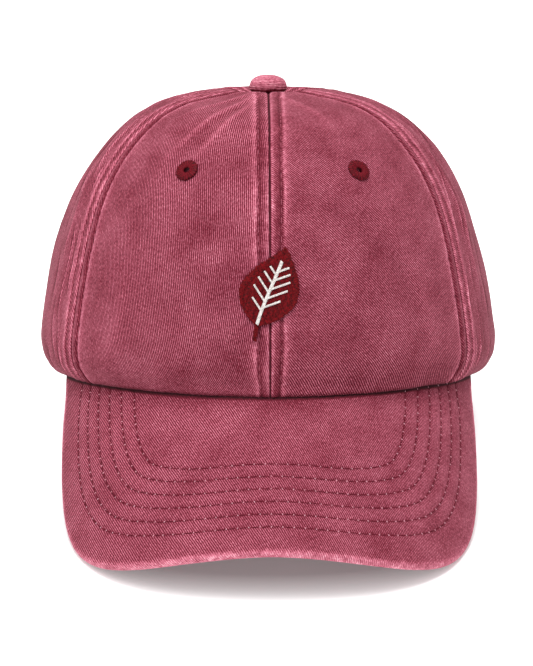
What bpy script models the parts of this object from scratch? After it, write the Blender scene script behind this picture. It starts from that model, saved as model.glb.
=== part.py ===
"""Six-panel washed cotton cap with a curved peak, built at its real size.

Units are metres and +Z is up. Each piece is modelled in the cap's own frame:
the crown's edge lies in the plane z = 0 around the origin, X runs across and
the peak points along -Y. Left is the side of -X. Angles run around the crown
from the front, positive towards +X. At the end the whole cap is tipped until
it rests on the two low corners of the peak and on the back of its edge.
"""

import math
from collections import namedtuple

import bmesh
import bpy
import numpy as np
from mathutils import Matrix, Vector

# General sizes
CLOTH = 0.0012
CLEARANCE = 0.0003

# Crown
CROWN_HEIGHT = 0.1108
CROWN_HALF_WIDTH = 0.0900
CROWN_FRONT_REACH = 0.0995
CROWN_BACK_REACH = 0.0995
FRONT_SEAM = math.radians(57.5)
BACK_SEAM = math.radians(119.0)
SEAM_SWING = math.radians(2.5)
SEAM_SWING_AT = 0.50
SEAM_SWING_REACH = 0.18
SEAM_BAND = 0.0045
SEAM_ROOM = 4.0
SEAM_RISE = 0.0007
SEAM_DRAW = 0.0012
FOLD_WIDTH = 0.0060
FOLD_DEPTH = 0.0018
TOP_HOLE_RADIUS = 0.0030

# Button
BUTTON_DIAMETER = 0.0149
BUTTON_HEIGHT = 0.0066
BUTTON_STEM_DIAMETER = 0.0050

# Eyelets
EYELET_DIAMETER = 0.0087
EYELET_RISE = 0.0009
EYELET_NECK_DIAMETER = 0.0046
EYELET_HOLE_DIAMETER = 0.0025
EYELET_HEIGHT = 0.0812
FRONT_EYELET = math.radians(27.7)
FRONT_EYELET_TURN = math.radians(1.2)
SIDE_EYELET = math.radians(103.0)
BACK_EYELET = math.radians(150.0)

# Peak
PEAK_LENGTH = 0.0718
PEAK_HALF_WIDTH = 0.0974
PEAK_THICKNESS = 0.0032
PEAK_EDGE_RADIUS = 0.0013
PEAK_SLOPE = math.radians(43.0)
PEAK_SPAN = math.radians(70.0)
PEAK_TAIL = 0.0060

# Back opening, strap and clasp
ARCH_WIDTH = 0.1000
ARCH_HEIGHT = 0.0480
STRAP_HEIGHT = 0.0200
STRAP_OVERLAP = 0.0120
STRAP_EASE = 0.0009
CLASP_LENGTH = 0.0260
CLASP_BAR = 0.0024
CLASP_RAIL = 0.0016
CLASP_EASE = 0.0005
CLASP_PLACE = 0.0140
CLASP_EDGE_RADIUS = 0.0004
STRAP_SHIFT_LENGTH = 0.0120
STRAP_LEAD = 0.0035
STRAP_TAIL = 0.0180

# Sweatband
SWEATBAND_HEIGHT = 0.0320
SWEATBAND_THICKNESS = 0.0012
SWEATBAND_EASE = 0.0008
SWEATBAND_LIFT = 0.0012
SWEATBAND_GAP = 0.0015

# Sizes that follow from the ones above
LAYER = CLOTH + STRAP_EASE
STRAP_LOW = CLASP_RAIL + CLASP_EASE
CLASP_BAR_DEPTH = CLOTH

# Sections of the crown from its edge to its top, as shares of its named sizes.
# The last two are the exponents of the outline in front and behind, 2 for an
# ellipse: the edge is tucked in at the sides and full at the back, and the
# button draws the top down into a shallow dimple.
Section = namedtuple("Section", "up side front back front_round back_round")
SECTIONS = (
    Section(0.000, 0.933, 0.990, 0.991, 1.84, 2.30),
    Section(0.025, 0.971, 0.994, 0.995, 1.88, 2.16),
    Section(0.060, 0.992, 0.998, 0.998, 1.94, 2.06),
    Section(0.110, 0.999, 1.000, 1.000, 1.98, 2.02),
    Section(0.180, 0.990, 0.995, 0.997, 2.00, 2.00),
    Section(0.300, 0.966, 0.970, 0.974, 2.00, 2.00),
    Section(0.450, 0.921, 0.928, 0.930, 2.00, 2.00),
    Section(0.600, 0.855, 0.862, 0.858, 2.00, 2.00),
    Section(0.720, 0.778, 0.782, 0.778, 2.00, 2.00),
    Section(0.820, 0.685, 0.686, 0.682, 2.00, 2.00),
    Section(0.900, 0.574, 0.572, 0.570, 2.00, 2.00),
    Section(0.955, 0.436, 0.434, 0.432, 2.00, 2.00),
    Section(0.985, 0.290, 0.288, 0.288, 2.00, 2.00),
    Section(0.993, 0.190, 0.188, 0.188, 2.00, 2.00),
    Section(0.974, 0.098, 0.098, 0.098, 2.00, 2.00),
    Section(0.970, 0.000, 0.000, 0.000, 2.00, 2.00),
)

# Cross-section of a topstitched seam: distance from it as a share of the seam
# band, and height as a share of the seam's rise.
SeamStep = namedtuple("SeamStep", "distance height")
SEAM_STEPS = (
    SeamStep(0.00, 0.10),
    SeamStep(0.28, 1.00),
    SeamStep(0.78, 0.85),
    SeamStep(1.00, -0.60),
    SeamStep(1.40, 0.00),
)

# Folds and dents of the cloth: place and lean in degrees around the crown, low
# and high end as shares of the way from edge to top, width and depth as shares
# of the fold sizes, with a dent's depth negative.
Fold = namedtuple("Fold", "angle lean low high width depth")
FOLDS = (
    Fold(0.0, 0.0, 0.62, 1.00, 6.2, -1.6),
    Fold(69.0, 5.0, 0.12, 0.78, 0.8, 0.7),
    Fold(80.0, -6.0, 0.25, 0.92, 0.9, -0.6),
    Fold(97.0, -12.0, 0.20, 0.80, 1.3, 0.6),
    Fold(-68.0, -6.0, 0.15, 0.80, 0.9, 0.7),
    Fold(-79.0, 5.0, 0.30, 0.90, 0.9, -0.6),
    Fold(-96.0, 10.0, 0.05, 0.60, 1.3, 0.6),
    Fold(36.0, 6.0, 0.02, 0.50, 1.5, -0.4),
    Fold(-34.0, -4.0, 0.30, 0.85, 1.8, 0.4),
    Fold(150.0, 4.0, 0.40, 0.90, 1.6, -0.6),
    Fold(-146.0, -6.0, 0.45, 0.92, 1.5, 0.5),
)

# Profiles from the middle out: radius as a share of the half diameter, height of
# the button's height, and for the eyelet's ring of the way from hole to rim and
# of its rise.
ProfilePoint = namedtuple("ProfilePoint", "radius height")
BUTTON_PROFILE = (
    ProfilePoint(0.88, 0.00),
    ProfilePoint(0.98, 0.13),
    ProfilePoint(1.00, 0.30),
    ProfilePoint(0.975, 0.47),
    ProfilePoint(0.900, 0.63),
    ProfilePoint(0.760, 0.78),
    ProfilePoint(0.550, 0.905),
    ProfilePoint(0.290, 0.976),
    ProfilePoint(0.000, 1.00),
)
EYELET_PROFILE = (
    ProfilePoint(1.00, 0.00),
    ProfilePoint(0.80, 1.00),
    ProfilePoint(0.26, 1.00),
    ProfilePoint(0.00, 0.00),
)

# Half outline of the peak in its flat pattern, from the middle of its front to
# the widest point: across as a share of its half width, along of its length.
OutlinePoint = namedtuple("OutlinePoint", "across along")
PEAK_FRONT = (
    OutlinePoint(0.000, 1.000),
    OutlinePoint(0.560, 1.000),
    OutlinePoint(1.000, 0.920),
    OutlinePoint(1.000, -0.276),
)
PEAK_TAIL_PULL = 0.35

# Mesh density
PANEL_ROWS = 16
FRONT_COLUMNS = 15
SIDE_COLUMNS = 18
BACK_COLUMNS = 14
PEAK_COLUMNS = 34
PEAK_ROWS = 5
BAND_COLUMNS = 50
BAND_ROWS = 2
STRAP_COLUMNS = 40
STRAP_ROWS = 1
ROUND_STEPS = 18
EYELET_STEPS = 14
CURVE_SAMPLES = 400
OUTLINE_SAMPLES = 100
ROW_CROWDING = 1.35
SHARP_ANGLE = math.radians(50.0)
PROBE = 0.002

CAP_NAME = "cap"
CUTTERS_NAME = "cutters"


def smooth_table(keys, values, at):
    """Return the value at a place on a cubic through the rows without overshoot."""
    step = np.diff(keys)
    rise = np.diff(values) / step
    slope = np.zeros(len(keys))
    slope[0] = rise[0]
    slope[-1] = rise[-1]
    for i in range(1, len(keys) - 1):
        if rise[i - 1] * rise[i] > 0:
            slope[i] = 2 * rise[i - 1] * rise[i] / (rise[i - 1] + rise[i])
    i = int(np.clip(np.searchsorted(keys, at) - 1, 0, len(step) - 1))
    x = (at - keys[i]) / step[i]
    start = values[i] * (1 + 2 * x) * (1 - x) ** 2 + slope[i] * step[i] * x * (1 - x) ** 2
    end = values[i + 1] * x * x * (3 - 2 * x) + slope[i + 1] * step[i] * x * x * (x - 1)
    return start + end


def section_keys():
    """Return each section's place from 0 at the edge to 1 at the top."""
    keys = [0.0]
    for low, high in zip(SECTIONS, SECTIONS[1:]):
        climb = (high.up - low.up) * CROWN_HEIGHT
        inward = (high.side - low.side) * CROWN_HALF_WIDTH
        keys.append(keys[-1] + math.hypot(climb, inward))
    return np.array(keys) / keys[-1]


def section_samples():
    """Return the crown's sections read at even places from edge to top."""
    keys = section_keys()
    columns = np.array(SECTIONS).T
    places = np.linspace(0.0, 1.0, CURVE_SAMPLES)
    return places, [np.array([smooth_table(keys, column, t) for t in places]) for column in columns]


SAMPLE_PLACES, SAMPLE_COLUMNS = section_samples()


def section_at(t):
    """Return the crown's section at a share of the way from edge to top."""
    return Section(*(float(np.interp(t, SAMPLE_PLACES, column)) for column in SAMPLE_COLUMNS))


def place_of_height(height):
    """Return the share of the way up at which the crown has a height."""
    return float(np.interp(height / CROWN_HEIGHT, SAMPLE_COLUMNS[0], SAMPLE_PLACES))


def place_of_radius(radius):
    """Return the share of the way up at which the crown has closed to a radius."""
    shares = SAMPLE_COLUMNS[1][::-1]
    return float(np.interp(radius / CROWN_HALF_WIDTH, shares, SAMPLE_PLACES[::-1]))


def signed_power(value, power):
    """Return a power of a number that keeps the number's sign."""
    return math.copysign(abs(value) ** power, value)


def crown_skin(angle, t):
    """Return a point of the crown's plain form, without folds."""
    section = section_at(t)
    in_front = math.cos(angle) > 0
    power = 2 / (section.front_round if in_front else section.back_round)
    reach = CROWN_FRONT_REACH * section.front if in_front else CROWN_BACK_REACH * section.back
    across = signed_power(math.sin(angle), power) * CROWN_HALF_WIDTH * section.side
    forward = signed_power(math.cos(angle), power) * reach
    return np.array((across, -forward, CLEARANCE + CROWN_HEIGHT * section.up))


def crown_normal(angle, t):
    """Return the crown's outward normal."""
    around = crown_skin(angle + PROBE, t) - crown_skin(angle - PROBE, t)
    upward = crown_skin(angle, min(t + PROBE, 1.0)) - crown_skin(angle, max(t - PROBE, 0.0))
    normal = np.cross(around, upward)
    return normal / np.linalg.norm(normal)


def mean_radius(t):
    """Return the crown's mean radius at a level."""
    section = section_at(t)
    reach = (CROWN_FRONT_REACH * section.front + CROWN_BACK_REACH * section.back) / 2
    return (CROWN_HALF_WIDTH * section.side + reach) / 2


def turned_between(angle, centre):
    """Return the turn from one angle to another, within half a turn."""
    return (angle - centre + math.pi) % (2 * math.pi) - math.pi


def fold_offset(angle, t):
    """Return how far the folds and dents push the cloth out at a place."""
    total = 0.0
    radius = mean_radius(t)
    for fold in FOLDS:
        if fold.low < t < fold.high:
            share = (t - fold.low) / (fold.high - fold.low)
            centre = math.radians(fold.angle + fold.lean * share)
            aside = turned_between(angle, centre) * radius / (fold.width * FOLD_WIDTH)
            total += FOLD_DEPTH * fold.depth * math.exp(-aside * aside) * math.sin(math.pi * share) ** 2
    return total


def seam_angle(seam, t):
    """Return where a seam runs at a level, with the swing of the front ones."""
    if abs(abs(seam) - FRONT_SEAM) > 1e-6:
        return seam
    away = (t - SEAM_SWING_AT) / SEAM_SWING_REACH
    return seam + math.copysign(SEAM_SWING * math.exp(-away * away), seam)


SEAMS = (0.0, FRONT_SEAM, BACK_SEAM, math.pi, -BACK_SEAM, -FRONT_SEAM)


def draw_offset(angle, t):
    """Return how far the seams draw the cloth in between the full panels."""
    turns = sorted(abs(turned_between(angle, seam_angle(seam, t))) for seam in SEAMS)
    share = turns[0] / (turns[0] + turns[1])
    fullness = math.sin(math.pi * min(1.0, share)) ** 0.5 if share > 0 else 0.0
    return -SEAM_DRAW * (1 - fullness) * math.sin(math.pi * t) ** 0.5


def crown_point(angle, t, lift):
    """Return a point at a distance outside the crown's folded cloth."""
    out = lift + fold_offset(angle, t) + draw_offset(angle, t)
    return crown_skin(angle, t) + crown_normal(angle, t) * out


def screen_material(name, red, green, blue, roughness, metallic=0.0):
    """Return a Principled material of a colour given as 0 to 255 on screen."""
    material = bpy.data.materials.new(name)
    material.use_nodes = True
    shader = material.node_tree.nodes["Principled BSDF"]
    channels = [((c / 255 + 0.055) / 1.055) ** 2.4 for c in (red, green, blue)]
    shader.inputs["Base Color"].default_value = (*channels, 1.0)
    shader.inputs["Roughness"].default_value = roughness
    shader.inputs["Metallic"].default_value = metallic
    material.diffuse_color = (*channels, 1.0)
    return material


def new_object(name, shape, collection, parent, material=None):
    """Turn a bmesh into an object under the rest empty."""
    mesh = bpy.data.meshes.new(name)
    shape.to_mesh(mesh)
    shape.free()
    thing = bpy.data.objects.new(name, mesh)
    collection.objects.link(thing)
    thing.parent = parent
    if material:
        mesh.materials.append(material)
        mesh.shade_smooth()
        mesh.set_sharp_from_angle(angle=SHARP_ANGLE)
    return thing


def face_outwards(solid):
    """Turn a closed solid's faces to point out."""
    bmesh.ops.recalc_face_normals(solid, faces=solid.faces[:])
    if solid.calc_volume(signed=True) < 0:
        bmesh.ops.reverse_faces(solid, faces=solid.faces[:])


def cloth_slab(columns, rows, place):
    """Return a closed sheet of cells, each corner set by place(across, along, side)."""
    sheet = bmesh.new()
    bmesh.ops.create_grid(sheet, x_segments=columns, y_segments=rows, size=0.5)
    raised = bmesh.ops.extrude_face_region(sheet, geom=sheet.faces[:])["geom"]
    for item in raised:
        if isinstance(item, bmesh.types.BMVert):
            item.co.z = 1.0
    for corner in sheet.verts:
        corner.co = Vector(place(corner.co.x + 0.5, corner.co.y + 0.5, round(corner.co.z)))
    face_outwards(sheet)
    return sheet


def turned_solid(profile, steps):
    """Return a solid turned from a profile of (radius, height) pairs."""
    solid = bmesh.new()
    corners = [solid.verts.new((radius, 0.0, height)) for radius, height in profile]
    for low, high in zip(corners, corners[1:]):
        solid.edges.new((low, high))
    bmesh.ops.spin(
        solid,
        geom=solid.verts[:] + solid.edges[:],
        cent=(0.0, 0.0, 0.0),
        axis=(0.0, 0.0, 1.0),
        angle=2 * math.pi,
        steps=steps,
        use_merge=True,
    )
    bmesh.ops.remove_doubles(solid, verts=solid.verts[:], dist=1e-6)
    face_outwards(solid)
    return solid


def seam_height(distance, scale):
    """Return how high the stitched cloth stands at a distance from its seam."""
    share = distance / (SEAM_BAND * scale)
    distances = [step.distance for step in SEAM_STEPS]
    heights = [step.height for step in SEAM_STEPS]
    return SEAM_RISE * scale * float(np.interp(share, distances, heights, right=0.0))


def panel_slab(start, end, columns):
    """Return the cloth of one gore between the seams at two angles."""
    top = place_of_radius(TOP_HOLE_RADIUS)
    edge_steps = len(SEAM_STEPS)

    def column_distance(index, width, scale):
        """Return a column's distance from the start seam, with close ones at the seams."""
        last = edge_steps - 1
        if index <= last:
            return SEAM_STEPS[index].distance * SEAM_BAND * scale
        if index >= columns - last:
            return width - SEAM_STEPS[columns - index].distance * SEAM_BAND * scale
        margin = SEAM_STEPS[last].distance * SEAM_BAND * scale
        share = (index - last) / (columns - 2 * last)
        return margin + (width - 2 * margin) * share

    def place(across, along, side):
        """Return the corner of a cell."""
        t = top * along ** ROW_CROWDING
        first = seam_angle(start, t)
        final = seam_angle(end, t)
        radius = mean_radius(t)
        trim = CLEARANCE / 2 / radius
        width = (final - first - 2 * trim) * radius
        scale = min(1.0, width / (SEAM_ROOM * SEAM_BAND))
        distance = column_distance(round(across * columns), width, scale)
        angle = first + trim + distance / radius
        stitched = seam_height(min(distance, width - distance), scale)
        return crown_point(angle, t, stitched - CLOTH * (1 - side))

    return cloth_slab(columns, PANEL_ROWS, place)


def arch_cutter():
    """Return the cutter of the opening at the back, an arch along Y."""
    arch = bmesh.new()
    bmesh.ops.create_circle(arch, cap_ends=True, radius=1.0, segments=40)
    for corner in arch.verts:
        across = corner.co.x * ARCH_WIDTH / 2
        height = corner.co.y * ARCH_HEIGHT if corner.co.y > 1e-4 else -CROWN_HEIGHT / 4
        corner.co = Vector((across, CROWN_BACK_REACH / 3, height + CLEARANCE))
    grown = bmesh.ops.extrude_face_region(arch, geom=arch.faces[:])["geom"]
    moved = [item for item in grown if isinstance(item, bmesh.types.BMVert)]
    bmesh.ops.translate(arch, verts=moved, vec=(0.0, CROWN_BACK_REACH, 0.0))
    bmesh.ops.remove_doubles(arch, verts=arch.verts[:], dist=1e-6)
    face_outwards(arch)
    return arch


def cut(thing, cutter):
    """Cut one object by another with a Boolean modifier."""
    boolean = thing.modifiers.new(cutter.name, "BOOLEAN")
    boolean.operation = "DIFFERENCE"
    boolean.object = cutter


def eyelet_frame(angle):
    """Return the frame of an air hole: its place on the cloth and its outward Z."""
    t = place_of_height(EYELET_HEIGHT)
    outward = Vector(crown_normal(angle, t))
    turn = outward.to_track_quat("Z", "Y").to_matrix().to_4x4()
    return Matrix.Translation(Vector(crown_point(angle, t, 0.0))) @ turn


def eyelet_solid():
    """Return a sewn ring with its neck through the cloth, turned about Z."""
    hole = EYELET_HOLE_DIAMETER / 2
    neck = EYELET_NECK_DIAMETER / 2
    rim = EYELET_DIAMETER / 2
    foot = -CLOTH - CLEARANCE
    profile = [(hole, foot), (neck, foot), (neck, CLEARANCE)]
    for p in EYELET_PROFILE:
        profile.append((hole + (rim - hole) * p.radius, CLEARANCE + EYELET_RISE * p.height))
    profile.append((hole, foot))
    return turned_solid(profile, EYELET_STEPS)


def eyelet_cutter():
    """Return the cutter of the hole that the eyelet's neck passes through."""
    pin = bmesh.new()
    bmesh.ops.create_cone(
        pin,
        cap_ends=True,
        segments=EYELET_STEPS,
        radius1=EYELET_NECK_DIAMETER / 2 + CLEARANCE,
        radius2=EYELET_NECK_DIAMETER / 2 + CLEARANCE,
        depth=8 * CLOTH,
    )
    return pin


def button_solid():
    """Return the domed button with its stem, standing on the plane z = 0."""
    rim = BUTTON_DIAMETER / 2
    stem = BUTTON_STEM_DIAMETER / 2
    foot = -2 * CLOTH - CLEARANCE
    profile = [(0.0, foot), (stem, foot), (stem, 0.0)]
    profile += [(p.radius * rim, p.height * BUTTON_HEIGHT) for p in BUTTON_PROFILE]
    return turned_solid(profile, ROUND_STEPS)


def button_seat():
    """Return the height at which the button's underside clears the cloth."""
    rim = place_of_radius(BUTTON_DIAMETER / 2)
    top = place_of_radius(TOP_HOLE_RADIUS)
    heights = [crown_skin(0.0, rim)[2], crown_skin(0.0, top)[2]]
    return max(heights) + SEAM_RISE * 0.5 + CLEARANCE


class PeakForm:
    """The peak as a flat pattern bent along the crown's edge at a steady slope."""

    def __init__(self):
        """Measure the arch that the crown's edge gives the peak."""
        base = section_at(0.0)
        self.half_width = CROWN_HALF_WIDTH * base.side
        self.reach = CROWN_FRONT_REACH * base.front
        power = 2 / base.front_round
        turns = np.linspace(0.0, math.pi / 2, CURVE_SAMPLES)
        self.across = self.half_width * np.sin(turns) ** power
        self.setback = self.reach * (1 - np.cos(turns) ** power)
        self.drop = self.setback * math.sin(PEAK_SLOPE)
        steps = np.hypot(np.diff(self.across), np.diff(self.drop))
        self.flat = np.concatenate(([0.0], np.cumsum(steps)))
        self.turns = turns
        self.outline = self.half_outline()

    def seam(self, flat):
        """Return how far along the pattern the crown's edge crosses a line."""
        setback = float(np.interp(abs(flat), self.flat, self.setback))
        return CLEARANCE - setback * math.cos(PEAK_SLOPE)

    def sewn_end(self):
        """Return where the seam to the crown ends, across the flat pattern."""
        return float(np.interp(PEAK_SPAN, self.turns, self.flat))

    def half_outline(self):
        """Return the outline from the front's middle to the tail, evenly spaced."""
        end = self.sewn_end()
        front = [(p.across * PEAK_HALF_WIDTH, p.along * PEAK_LENGTH) for p in PEAK_FRONT]
        widest = front[-1]
        tail = (end, self.seam(end) + PEAK_TAIL)
        reach = (widest[1] - tail[1]) * PEAK_TAIL_PULL
        back = [widest, (widest[0], widest[1] - reach), (tail[0], tail[1] + reach), tail]
        shares = np.linspace(0.0, 1.0, OUTLINE_SAMPLES)
        points = [bezier(front, share) for share in shares[:-1]]
        points += [bezier(back, share) for share in shares]
        points = np.array(points)
        steps = np.hypot(*np.diff(points, axis=0).T)
        lengths = np.concatenate(([0.0], np.cumsum(steps)))
        return lengths / lengths[-1], points

    def rim(self, share):
        """Return a point of the outline at a share of its way, on either side."""
        lengths, points = self.outline
        across = float(np.interp(abs(share), lengths, points[:, 0]))
        along = float(np.interp(abs(share), lengths, points[:, 1]))
        return math.copysign(across, share), along

    def point(self, across, along, lift):
        """Return a point of the bent pattern at a distance above its top face."""
        flat = abs(across)
        nudge = self.flat[-1] * PROBE
        aside = float(np.interp(flat, self.flat, self.across))
        drop = float(np.interp(flat, self.flat, self.drop))
        low = max(flat - nudge, 0.0)
        high = low + 2 * nudge
        tilt = float(np.interp(high, self.flat, self.drop) - np.interp(low, self.flat, self.drop))
        run = float(np.interp(high, self.flat, self.across) - np.interp(low, self.flat, self.across))
        if flat < nudge:
            tilt = tilt * flat / nudge
        length = math.hypot(tilt, run)
        x = aside + lift * tilt / length
        m = lift * run / length - drop
        forward = self.reach + along * math.cos(PEAK_SLOPE) + m * math.sin(PEAK_SLOPE)
        height = m * math.cos(PEAK_SLOPE) - along * math.sin(PEAK_SLOPE)
        return math.copysign(x, across), -forward, height

    def slab(self):
        """Return the peak's slab between the seam and the outline."""
        end = self.sewn_end()

        def place(across, along, side):
            """Return the corner of a cell."""
            share = 2 * across - 1
            outer = self.rim(share)
            inner = (end * share, self.seam(end * share))
            x = inner[0] + (outer[0] - inner[0]) * along
            y = inner[1] + (outer[1] - inner[1]) * along
            return self.point(x, y, -PEAK_THICKNESS * (1 - side))

        return cloth_slab(PEAK_COLUMNS, PEAK_ROWS, place)


def bezier(controls, share):
    """Return a point of the cubic curve with four control points."""
    a, b, c, d = (np.array(control) for control in controls)
    rest = 1 - share
    return a * rest ** 3 + 3 * b * rest ** 2 * share + 3 * c * rest * share ** 2 + d * share ** 3


def back_angle(distance, t):
    """Return the angle of a place on the edge, counted from the back's middle."""
    section = section_at(t)
    across = math.sin(distance / CROWN_HALF_WIDTH) / section.side
    return math.pi - math.asin(signed_power(max(-1.0, min(1.0, across)), section.back_round / 2))


def edge_point(distance, height, lift):
    """Return a point near the back edge, level with its height.

    distance runs along the edge from its middle towards +X, and lift is the
    distance outside the crown's cloth.
    """
    t = place_of_height(max(height, 0.0))
    angle = back_angle(distance, t)
    point = crown_skin(angle, t)
    outward = crown_normal(angle, t) * (1.0, 1.0, 0.0)
    point = point + outward / np.linalg.norm(outward) * lift
    return point[0], point[1], height + CLEARANCE


def strap_end():
    """Return how far from the middle the strap reaches behind the panels."""
    return CROWN_HALF_WIDTH * math.asin(ARCH_WIDTH / 2 / CROWN_HALF_WIDTH) + STRAP_OVERLAP


def strap_slab(start, end, depth_at):
    """Return a stretch of strap whose outer face lies depth_at(distance) in."""

    def place(across, along, side):
        """Return the corner of a cell."""
        distance = start + (end - start) * across
        height = STRAP_LOW + STRAP_HEIGHT * along
        return edge_point(distance, height, -depth_at(distance) - CLOTH * (1 - side))

    return cloth_slab(STRAP_COLUMNS, STRAP_ROWS, place)


def strap_depth(distance):
    """Return the long strap's depth: behind the panel, then behind the clasp's bars."""
    start = CLASP_PLACE - CLASP_LENGTH / 2 - STRAP_LEAD - STRAP_SHIFT_LENGTH
    share = min(max((distance - start) / STRAP_SHIFT_LENGTH, 0.0), 1.0)
    return LAYER + (CLASP_BAR_DEPTH + CLEARANCE) * share * share * (3 - 2 * share)


def clasp_solid():
    """Return the slide: two bars over the strap, one under it, and two rails."""
    bar = CLASP_BAR
    half = CLASP_LENGTH / 2
    columns = (-half, -half + bar, -bar / 2, bar / 2, half - bar, half)
    low = STRAP_LOW - CLASP_EASE - CLASP_RAIL
    inner = STRAP_LOW + STRAP_HEIGHT + CLASP_EASE
    levels = (low, STRAP_LOW - CLASP_EASE, inner, inner + CLASP_RAIL)
    over = LAYER + CLASP_BAR_DEPTH
    under = over + CLEARANCE + CLOTH + CLEARANCE
    depths = (LAYER, over, under, under + bar / 2)
    solid = bmesh.new()
    for column in range(5):
        for level in range(3):
            for depth in range(3):
                if clasp_has(column, level, depth):
                    spans = [
                        columns[column:column + 2],
                        levels[level:level + 2],
                        depths[depth:depth + 2],
                    ]
                    add_block(solid, spans)
    shared = {}
    for face in solid.faces:
        centre = tuple(round(c * 1e6) for c in face.calc_center_median())
        shared.setdefault(centre, []).append(face)
    inside = [face for faces in shared.values() if len(faces) > 1 for face in faces]
    bmesh.ops.delete(solid, geom=inside, context="FACES")
    bmesh.ops.remove_doubles(solid, verts=solid.verts[:], dist=1e-6)
    for corner in solid.verts:
        distance, height, depth = corner.co
        corner.co = Vector(edge_point(CLASP_PLACE + distance, height, -depth))
    face_outwards(solid)
    return solid


def clasp_has(column, level, depth):
    """Say whether a cell of the slide's grid is filled."""
    rail = level != 1
    if depth == 0:
        return rail or column in (0, 4)
    if depth == 1:
        return rail and column == 2
    return column == 2


def add_block(solid, spans):
    """Add a block that fills one span along each of its three directions."""
    size = Vector([high - low for low, high in spans])
    centre = Vector([(low + high) / 2 for low, high in spans])
    matrix = Matrix.Translation(centre) @ Matrix.Diagonal((*size, 1.0))
    bmesh.ops.create_cube(solid, size=1.0, matrix=matrix)


def sweatband_slab():
    """Return the band inside the edge, open where the strap's ends lie."""
    end = strap_end() + SWEATBAND_GAP
    depth = CLOTH + SWEATBAND_EASE

    def place(across, along, side):
        """Return the corner of a cell."""
        t = place_of_height(SWEATBAND_LIFT + SWEATBAND_HEIGHT * along)
        angle = back_angle(end, t) * (2 * across - 1)
        return crown_point(angle, t, -depth - SWEATBAND_THICKNESS * (1 - side))

    return cloth_slab(BAND_COLUMNS, BAND_ROWS, place)


def bevel_edges(thing, width, segments):
    """Round an object's sharp edges."""
    bevel = thing.modifiers.new("rounded", "BEVEL")
    bevel.width = width
    bevel.segments = segments
    bevel.limit_method = "ANGLE"
    bevel.angle_limit = SHARP_ANGLE


def evaluated_points(things):
    """Return the corners of finished objects in world space."""
    bpy.context.view_layer.update()
    graph = bpy.context.evaluated_depsgraph_get()
    points = []
    for thing in things:
        finished = thing.evaluated_get(graph)
        mesh = finished.to_mesh()
        points.extend(finished.matrix_world @ corner.co for corner in mesh.vertices)
        finished.to_mesh_clear()
    return np.array(points)


def resting_tilt(points):
    """Return the tilt at which front and back touch the table together."""
    front = points[points[:, 1] < 0]
    back = points[points[:, 1] > 0]
    tilt = 0.0
    for _ in range(20):
        heel = back[np.argmin(back[:, 2] * math.cos(tilt) - back[:, 1] * math.sin(tilt))]
        tilt = float(np.max(np.arctan2(heel[2] - front[:, 2], heel[1] - front[:, 1])))
    return tilt


def rest_on_table(rest, things):
    """Tip the cap until it lies by itself, with its box centred on the origin."""
    rest.rotation_euler.x = -resting_tilt(evaluated_points(things))
    points = evaluated_points(things)
    low = points.min(axis=0)
    high = points.max(axis=0)
    rest.location = (-(low[0] + high[0]) / 2, -(low[1] + high[1]) / 2, -low[2])


def clear_scene():
    """Remove every object, and the collections of an earlier run."""
    for thing in list(bpy.data.objects):
        bpy.data.objects.remove(thing, do_unlink=True)
    for name in (CAP_NAME, CUTTERS_NAME):
        if name in bpy.data.collections:
            bpy.data.collections.remove(bpy.data.collections[name])


def new_collection(name):
    """Return a new collection in the scene."""
    collection = bpy.data.collections.new(name)
    bpy.context.scene.collection.children.link(collection)
    return collection


def new_cutter(name, shape, collection, parent):
    """Return an object that only cuts others."""
    cutter = new_object(name, shape, collection, parent)
    cutter.hide_render = True
    cutter.display_type = "WIRE"
    return cutter


def build_crown(cap, cutters, rest, twill):
    """Build the six panels, with the opening at the back."""
    gores = (
        ("front_right", 0.0, FRONT_SEAM, FRONT_COLUMNS),
        ("side_right", FRONT_SEAM, BACK_SEAM, SIDE_COLUMNS),
        ("back_right", BACK_SEAM, math.pi, BACK_COLUMNS),
        ("back_left", -math.pi, -BACK_SEAM, BACK_COLUMNS),
        ("side_left", -BACK_SEAM, -FRONT_SEAM, SIDE_COLUMNS),
        ("front_left", -FRONT_SEAM, 0.0, FRONT_COLUMNS),
    )
    panels = {}
    for place, start, end, columns in gores:
        slab = panel_slab(start, end, columns)
        panels[place] = new_object("crown_" + place, slab, cap, rest, twill)
    arch = new_cutter("arch_cutter", arch_cutter(), cutters, rest)
    cut(panels["back_left"], arch)
    cut(panels["back_right"], arch)
    return panels


def build_eyelets(panels, cap, cutters, rest, thread):
    """Build six sewn air holes, one through each panel; the front pair is turned aside."""
    rows = (
        ("front", FRONT_EYELET, FRONT_EYELET_TURN),
        ("side", SIDE_EYELET, 0.0),
        ("back", BACK_EYELET, 0.0),
    )
    for row, angle, turn in rows:
        for hand, sign in (("left", -1), ("right", 1)):
            place = row + "_" + hand
            name = "eyelet_" + place
            eyelet = new_object(name, eyelet_solid(), cap, rest, thread)
            cutter = new_cutter(name + "_cutter", eyelet_cutter(), cutters, rest)
            eyelet.matrix_local = eyelet_frame(sign * angle + turn)
            cutter.matrix_local = eyelet_frame(sign * angle + turn)
            cut(panels[place], cutter)


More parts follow.
